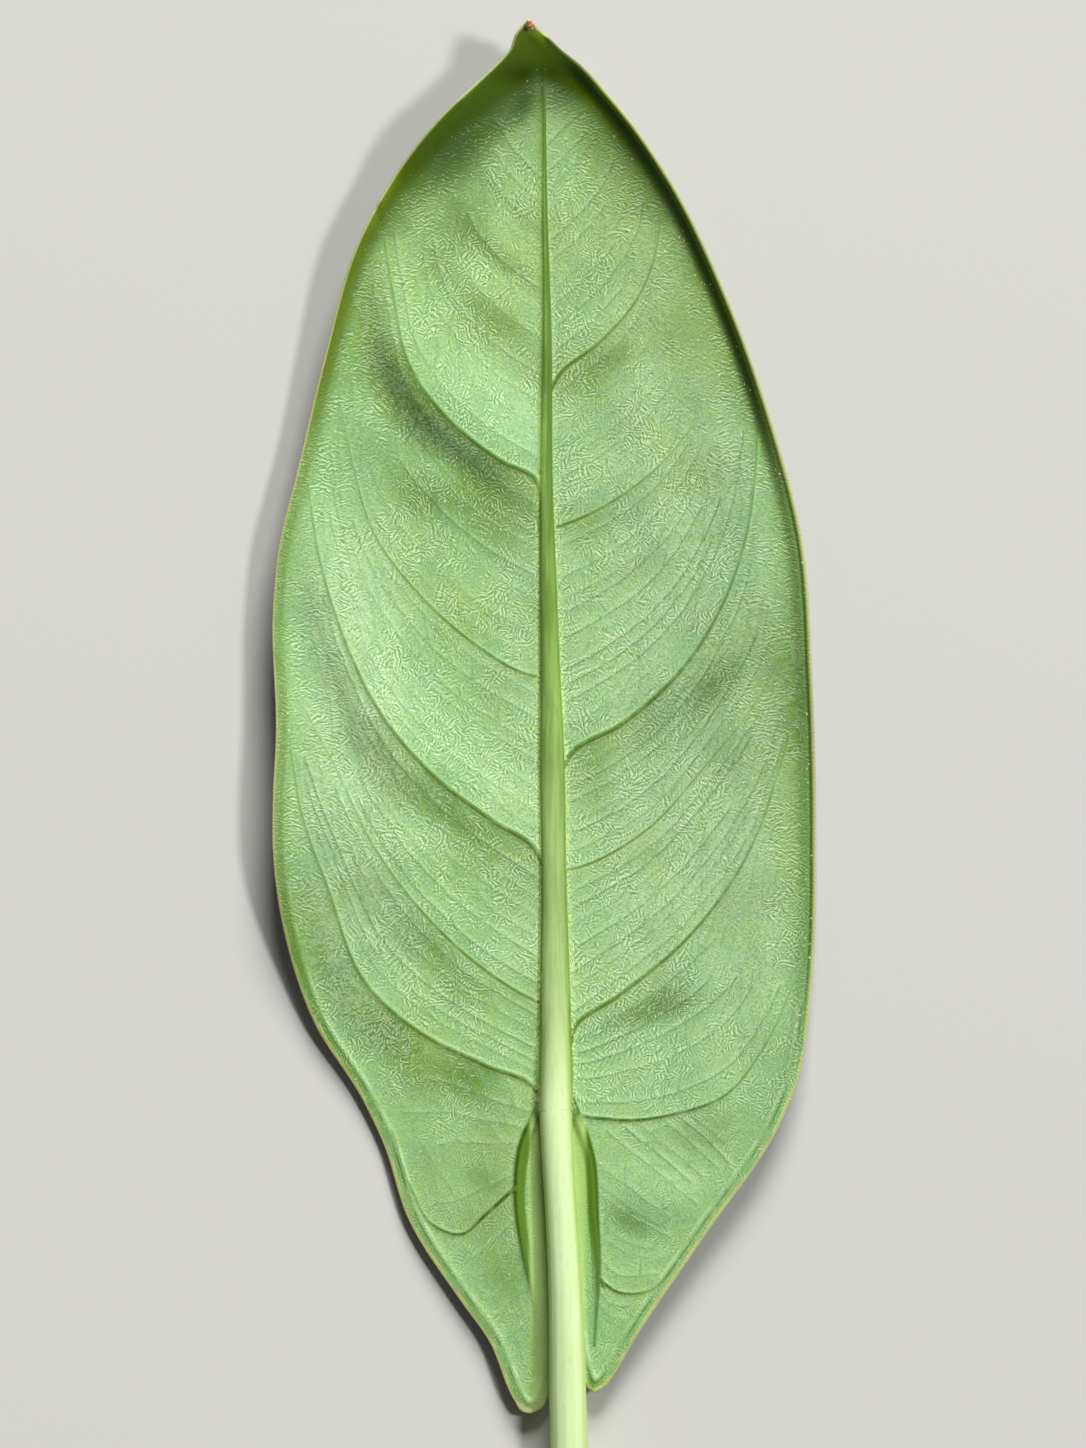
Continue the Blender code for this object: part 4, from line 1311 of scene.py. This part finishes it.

# %% [markdown]
# ## The underside's finish
# The underside is a pale, slightly blue green with a satin skin, with painted sheen on the sides of
# its folds that face the main panel and painted shade on the others. Seen close it is covered with
# tiny bright strokes and specks. The veins are thin darker lines, each with a paler rim on its lower
# side that is painted glow of the light through the vein, and the midrib is olive and turns pale
# towards the stalk. Each of these is one layer, from the broad colour down to the specks.

# %% Underside colours
PAINTED_SHEEN_GREEN = linear(164, 199, 144)
PLAIN_GREEN = linear(152, 193, 128)
PAINTED_LIGHT_GREEN = linear(194, 224, 180)
PAINTED_SHADE_FLANK_GREEN = linear(120, 165, 62)
LOBE_GREEN = linear(148, 186, 124)
BLUE_GREEN = linear(136, 184, 130)
YELLOW_GREEN = linear(158, 190, 98)
MOTTLE_GREEN = linear(104, 146, 70)
VEIN_GREEN = linear(84, 122, 40)
LOBE_RIB_OLIVE = linear(56, 92, 8)
LOBE_RIB_BODY = linear(92, 128, 36)
STRIP_GREEN_AND_LIGHT = linear(176, 208, 120)
FINE_VEIN_GREEN = linear(84, 132, 78)
MIDRIB_GREEN = linear(138, 174, 86)
MIDRIB_EDGE = linear(104, 140, 48)
TIP_OLIVE_AND_SHADE = linear(98, 122, 10)
RIM_OLIVE = linear(112, 146, 60)
RIM_LINE = linear(84, 128, 70)
PAINTED_SHADOW_OLIVE = linear(40, 60, 2)
ROLLED_RIM = linear(140, 152, 84)
SHADE_OLIVE = linear(72, 100, 36)
PAINTED_SHADE_GREEN = linear(94, 130, 54)
CREAM_RIM = linear(184, 190, 132)
STROKE_PALE = linear(226, 248, 200)
PIT_GREEN = linear(84, 124, 60)
SPECK_PALE = linear(228, 236, 176)
YELLOW_SPECK_AND_GLOW = linear(216, 228, 126)
STALK_LINE_X = 0.9


def blade_ground(x, y):
    """Broad colour: a painted sheen on the sides of the folds that face the main panel, painted shade in a
    deeper and yellower green on the other sides, a deeper green on the lobes, painted light over the
    right half, the far left and along the midrib away from the rim, and slow cloudy changes."""
    slope = attribute("slope")
    # Painted light: a lighter green over the right half, the far left and along the midrib, fading out
    # towards the rim.
    right = times(fade(x, 2, 10), fade(y, -20, 15, 0.12, 0.42))
    left = times(fade(x, -14, -24), fade(y, -10, 10), fade(y, 75, 50, 0, 0.42))
    middle = times(fade(attribute("midrib"), 9, 1), fade(y, -8, 8, 0, 0.3))
    sides = math("MAXIMUM", math("ADD", right, left), middle)
    spots = noise(0.75)
    cloud = noise(0.09, detail=3)
    return layered(
        PLAIN_GREEN,
        # Painted sheen where a fold faces the main panel, then painted shade where it faces away.
        (PAINTED_SHEEN_GREEN, fade(slope, 0.02, 0.3)),
        (LOBE_GREEN, fade(y, -4, -18, 0, 0.7), fade(x, 2, 8, 1, 0.35)),
        (PAINTED_SHADE_FLANK_GREEN, fade(slope, 0, -0.2)),
        (PAINTED_LIGHT_GREEN, sides, fade(attribute("rim"), 1, 6)),
        (YELLOW_GREEN, fade(y, 66, 96, 0, 0.35)),
        (BLUE_GREEN, fade(spots, 0.5, 0.66, 0, 0.4)),
        (YELLOW_GREEN, fade(spots, 0.48, 0.34, 0, 0.35)),
        (BLUE_GREEN, fade(cloud, 0.5, 0.68, 0, 0.5)),
        (YELLOW_GREEN, fade(cloud, 0.46, 0.3, 0, 0.4)))


def surface_marks(y):
    """The fine skin: patches of short strokes, which run across near the rim, the furrows between
    them, then a stipple, specks and pits."""
    patches = fade(noise(0.45, detail=1), 0.42, 0.58)
    near_rim = times(fade(attribute("rim"), 13, 6), fade(y, -12, 30))
    coarse = times(hatching(1.5, 0.58, near_rim), fade(patches, 0, 1, 0.9, 0.5), fade(y, -4, -18, 1, 0.25))
    wave = math("ADD", coarse, hatching(0.9, 0.4, near_rim))
    wave = times(wave, fade(noise(0.2, detail=3), 0.38, 0.62, 0.55, 1.35))
    stipple = noise(3.4, roughness=0.65, distortion=0.3)
    specks = fade(math("ADD", cells(1.2, (1, 0.8, 1)), times(noise(3, detail=1), 0.3)), 0.32, 0.24)
    specks = times(specks, fade(noise(0.9, detail=1), 0.44, 0.6))
    pits = fade(cells(1.5, (1, 1.1, 1)), 0.13, 0.06)
    return fade(wave, 0.15, 1.15), fade(wave, -0.15, -1.15), stipple, specks, pits


def side_striations():
    """Strokes that run straight away from a side vein, on the side of the stalk."""
    side, along = attribute("vein_side"), attribute("vein_along")
    where = node("ShaderNodeCombineXYZ", {0: times(along, 44), 1: times(side, 0.4)})
    lines = node("ShaderNodeTexNoise", {"Vector": where, "Scale": 1.9, "Detail": 1, "Distortion": 0.5})
    return times(
        fade(away_from(lines, 0.5), 0.08, 0, 0, 0.6), fade(side, -0.5, -1.2), fade(side, -7, -4),
        fade(along, 0.2, 0.34), fade(attribute("slope"), -0.03, -0.2))


def rim_drawn(colour, y, broken):
    """The rim: an olive band, and on the lobes a thin yellow, a dark and a pale line along it."""
    rim = attribute("rim")
    low = times(fade(y, 20, -10, 0.3, 1), fade(noise(0.3, detail=3), 0.38, 0.6, 0.15, 1))
    band = (RIM_OLIVE, fade(rim, 2.4, 1), fade(broken, 0.25, 0.6, 0.35, 0.7), fade(y, -14, 10, 0.15, 1))
    lines = [
        (tint, fade(away_from(rim, inset), half, 0.2 * half), low, strength)
        for tint, inset, half, strength in (
            (YELLOW_SPECK_AND_GLOW, 0.3, 0.2, 0.5),
            (RIM_LINE, RIM_VEIN_INSET - 0.3, 0.24, 0.75),
            (STROKE_PALE, RIM_VEIN_INSET + 0.3, 0.3, 0.3))]
    return layered(colour, band, *lines)


def veins_drawn(colour, x, y, broken):
    """The fine veins with a painted highlight on their tip side, the side veins with a broken yellow line
    below them that is painted glow of the light through them, and the lobe ribs.
    """
    vein, side, along = (attribute(name) for name in ("vein", "vein_side", "vein_along"))
    rib = times(fade(away_from(x, STALK_LINE_X), 6.3, 5.6), fade(y, -16.8, -17.8))
    inner = math("SUBTRACT", vein, fade(side, 0.2, -0.1, 0, 0.35))
    outer = math("MAXIMUM", fade(side, -0.05, 0.35), fade(along, 0.45, 0.75))
    gaps = mix_values(rib, fade(noise(0.4, detail=3), 0.36, 0.56, 0.65, 1), 1)
    return layered(
        colour,
        # A painted highlight on the tip side of each fine vein.
        (STROKE_PALE, attribute("fine_lit"), fade(broken, 0.3, 0.6, 0.05, 0.35)),
        (FINE_VEIN_GREEN, attribute("fine"), fade(broken, 0.35, 0.6, 0.5, 1)),
        # A broken yellow line on the stalk side of each side vein: painted glow of the light through it.
        (YELLOW_SPECK_AND_GLOW, fade(side, 0, -0.4), fade(vein, 0.4, 0.1), fade(broken, 0.45, 0.58, 0.1, 0.6),
         fade(along, 0.7, 0.05, 0.1, 0.9)),
        (LOBE_RIB_BODY, fade(inner, 0.25, -0.15), rib, fade(along, 0.95, 0.5)),
        (layered(VEIN_GREEN, (LOBE_RIB_OLIVE, fade(y, -9, -14))), fade(vein, 0.05, -0.22),
         mix_values(rib, 1, outer), gaps, fade(broken, 0.3, 0.5, 0.75, 1), fade(along, 1, 0.2, 0.6, 0.94)))


def midrib_drawn(colour, x, y, broken):
    """The midrib: olive with darker edges and streaks, yellow specks beside it, pale at the stalk. In its
    upper part the light through it is painted as a paler band on its left, and its right half is
    painted in shade. Below it, a pale strip runs between the two lobe ribs, painted lighter still to
    lift the stalk's shadow on it."""
    midrib, across = attribute("midrib"), attribute("midrib_side")
    upper_half = fade(y, 40, 75)
    green = layered(
        MIDRIB_GREEN,
        (MIDRIB_EDGE, fade(noise(2.2, (1, 0.06, 1)), 0.4, 0.65, 0, 0.6)),
        (MIDRIB_EDGE, fade(midrib, -0.4, -0.05, 0, 0.7)),
        # The right half of the midrib's upper part is painted in shade.
        (VEIN_GREEN, fade(across, -0.1, 0.1), upper_half, 0.8))
    return layered(
        colour,
        # The pale strip, painted lighter to lift the stalk's shadow on it.
        (STRIP_GREEN_AND_LIGHT, fade(y, -15, -18), fade(away_from(x, STALK_LINE_X), 4, 3.2), 0.85),
        (YELLOW_SPECK_AND_GLOW, fade(midrib, 0.9, 0.1), fade(broken, 0.5, 0.6), fade(y, 80, 40, 0.1, 1), 0.75),
        # Painted glow of the light through the midrib, in a band on its left.
        (MIDRIB_GREEN, fade(across, -1.6, -0.5), fade(across, 0.2, 0), upper_half, 0.6),
        (green, fade(midrib, 0.06, -0.12), fade(y, 118, 112)),
        (stalk_colour()[0], attribute("stalk")))


def tip_zone(x, y):
    """The smooth olive zone: all of the tip, narrowing to a band along both rims below it. It is partly
    the tip's own olive and partly painted shade of the hooked tip and the curled rims.
    """
    near = node("ShaderNodeMapRange", {0: y, 1: 85, 2: 118, 3: 0, 4: 1})
    reach = math("ADD", times(near, near, near, fade(x, 2, -3.5, 2.4, 3)), 0.9)
    inside = math("SUBTRACT", attribute("rim"), reach)
    return times(fade(inside, 1.8, -0.9), fade(y, 60, 85))


def tip_drawn(colour, x, y, zone):
    """Soft painted shade inside the margins, then olive over the zone, partly painted shade, with darker
    patches of painted shade in it. The right rim is rolled up: its edge is pale, a painted dark crease
    runs just inside it, and higher up the fold inside it is a much deeper olive of painted shadow."""
    rim = attribute("rim")
    right = times(fade(y, 58, 80), fade(x, 0, 4))
    edge = times(fade(y, -15, 10), fade(x, 0, 4))
    return layered(
        colour,
        (SHADE_OLIVE, fade(rim, 9, 0.5), fade(y, 82, 118, 0, 0.8)),
        # The olive zone, partly the tip's own olive and partly painted shade.
        (TIP_OLIVE_AND_SHADE, zone, 0.94),
        # Painted shade in the zone's patches, then painted shadow in the right rim's fold and its crease.
        (PAINTED_SHADOW_OLIVE, zone, attribute("patch"), 0.75),
        (PAINTED_SHADOW_OLIVE, fade(rim, 2.5, 1.1), fade(rim, 0.6, 0.9), right, 0.95),
        (PAINTED_SHADOW_OLIVE, fade(rim, 0.9, 0.6), fade(rim, 0.25, 0.45), edge, 0.75),
        (ROLLED_RIM, fade(rim, 0.45, 0.25), edge, 0.9))


def underside_skin():
    material = new_finish("underside_skin")
    x, y = (node("ShaderNodeSeparateXYZ", {0: place}, axis) for axis in (0, 1))
    strokes, furrows, stipple, specks, pits = surface_marks(y)
    broken = noise(2.6, detail=1)
    zone = tip_zone(x, y)
    patch, on_stalk = attribute("patch"), attribute("stalk")
    bare = times(
        fade(on_stalk, 0.6, 0), fade(attribute("midrib"), -0.2, 0.2), fade(zone, 1, 0.3, 0.1, 1),
        fade(attribute("vein"), -0.1, 0.25), fade(y, -8, -24, 1, 0.55))
    strokes = times(math("MAXIMUM", strokes, side_striations()), bare)
    furrows, specks = times(furrows, bare), times(specks, bare)
    # The patches of painted shade, with a slight random unevenness added.
    shade_and_tone = math("ADD", patch, times(math("SUBTRACT", broken, 0.5), 0.25))
    edge = math("SUBTRACT", attribute("rim"), fade(y, -52.8, -53.8, 0.3, 0.75))

    colour = layered(
        blade_ground(x, y),
        (MOTTLE_GREEN, fade(stipple, 0.56, 0.34, 0, 0.45)),
        (MOTTLE_GREEN, furrows, 0.65),
        (PAINTED_SHADE_GREEN, fade(shade_and_tone, 0.1, 0.8, 0, 0.8)),
        (STROKE_PALE, strokes, fade(patch, 0.1, 0.8, 0.6, 0.3)))
    colour = rim_drawn(colour, y, broken)
    colour = veins_drawn(colour, x, y, broken)
    colour = midrib_drawn(colour, x, y, broken)
    colour = tip_drawn(colour, x, y, zone)
    colour = layered(
        colour, (CREAM_RIM, fade(edge, 0, -0.25)), (PIT_GREEN, pits, bare, 0.6), (SPECK_PALE, specks, 0.8))

    normal = bump(times(stipple, fade(on_stalk, 0.6, 0, 0.2, 1)), 0.05)
    normal = bump(math("SUBTRACT", strokes, furrows), 0.012, normal)
    surface(colour, fade(stipple, 0.3, 0.7, 0.4, 0.6), bump(specks, 0.05, normal), 0.3)
    return material


blade.data.materials.append(underside_skin())
print("underside finish made")

# %% [markdown]
# ## The point's finish
# The dried point is tan to rust brown in patches, and slightly glossy.

# %% Point colours
DRY_TAN = linear(232, 190, 140)
DRY_RUST = linear(166, 112, 62)


def dry_point():
    material = new_finish("dry_point")
    patch = noise(2.2, detail=3)
    colour = layered(DRY_TAN, (DRY_RUST, fade(patch, 0.4, 0.6)))
    surface(colour, fade(patch, 0.3, 0.7, 0.3, 0.5), bump(patch, 0.06))
    return material


point.data.materials.append(dry_point())
print("point finish made")

# %% [markdown]
# ## The upper face's finish
# The photograph doesn't show the upper face, which lies on the floor. On such plants it is a darker,
# shinier green with pale lines over the main veins. It is finished in the same way, for the views in
# which the rim lifts off the floor.

# %% Upper face colours
UPPER_GREEN = linear(62, 96, 54)
UPPER_CLOUD = linear(74, 112, 60)
UPPER_VEIN = linear(96, 132, 82)
UPPER_MIDRIB = linear(130, 156, 96)


def upper_skin():
    material = new_finish("upper_skin")
    grain = noise(2, detail=3)
    colour = layered(
        UPPER_GREEN,
        (UPPER_CLOUD, fade(noise(0.12, detail=3), 0.35, 0.65)),
        (UPPER_VEIN, fade(attribute("vein"), 0.5, -0.1), 0.6),
        (UPPER_MIDRIB, fade(attribute("midrib"), 0.3, -0.3), 0.7),
        (CREAM_RIM, fade(attribute("rim"), 0.4, 0.15)))
    surface(colour, fade(grain, 0.3, 0.7, 0.28, 0.42), bump(grain, 0.05))
    return material


blade.data.materials.append(upper_skin())
print("blade finishes:", [material.name for material in blade.data.materials])

# %% [markdown]
# ## Hand over
# Blade, stalk and point are one grown piece, so all stand for the one solid of the frame and move with it.

# %% Join the pieces to the frame
for piece in (blade, stalk, point):
    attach(piece, "root")
    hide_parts("leaf")
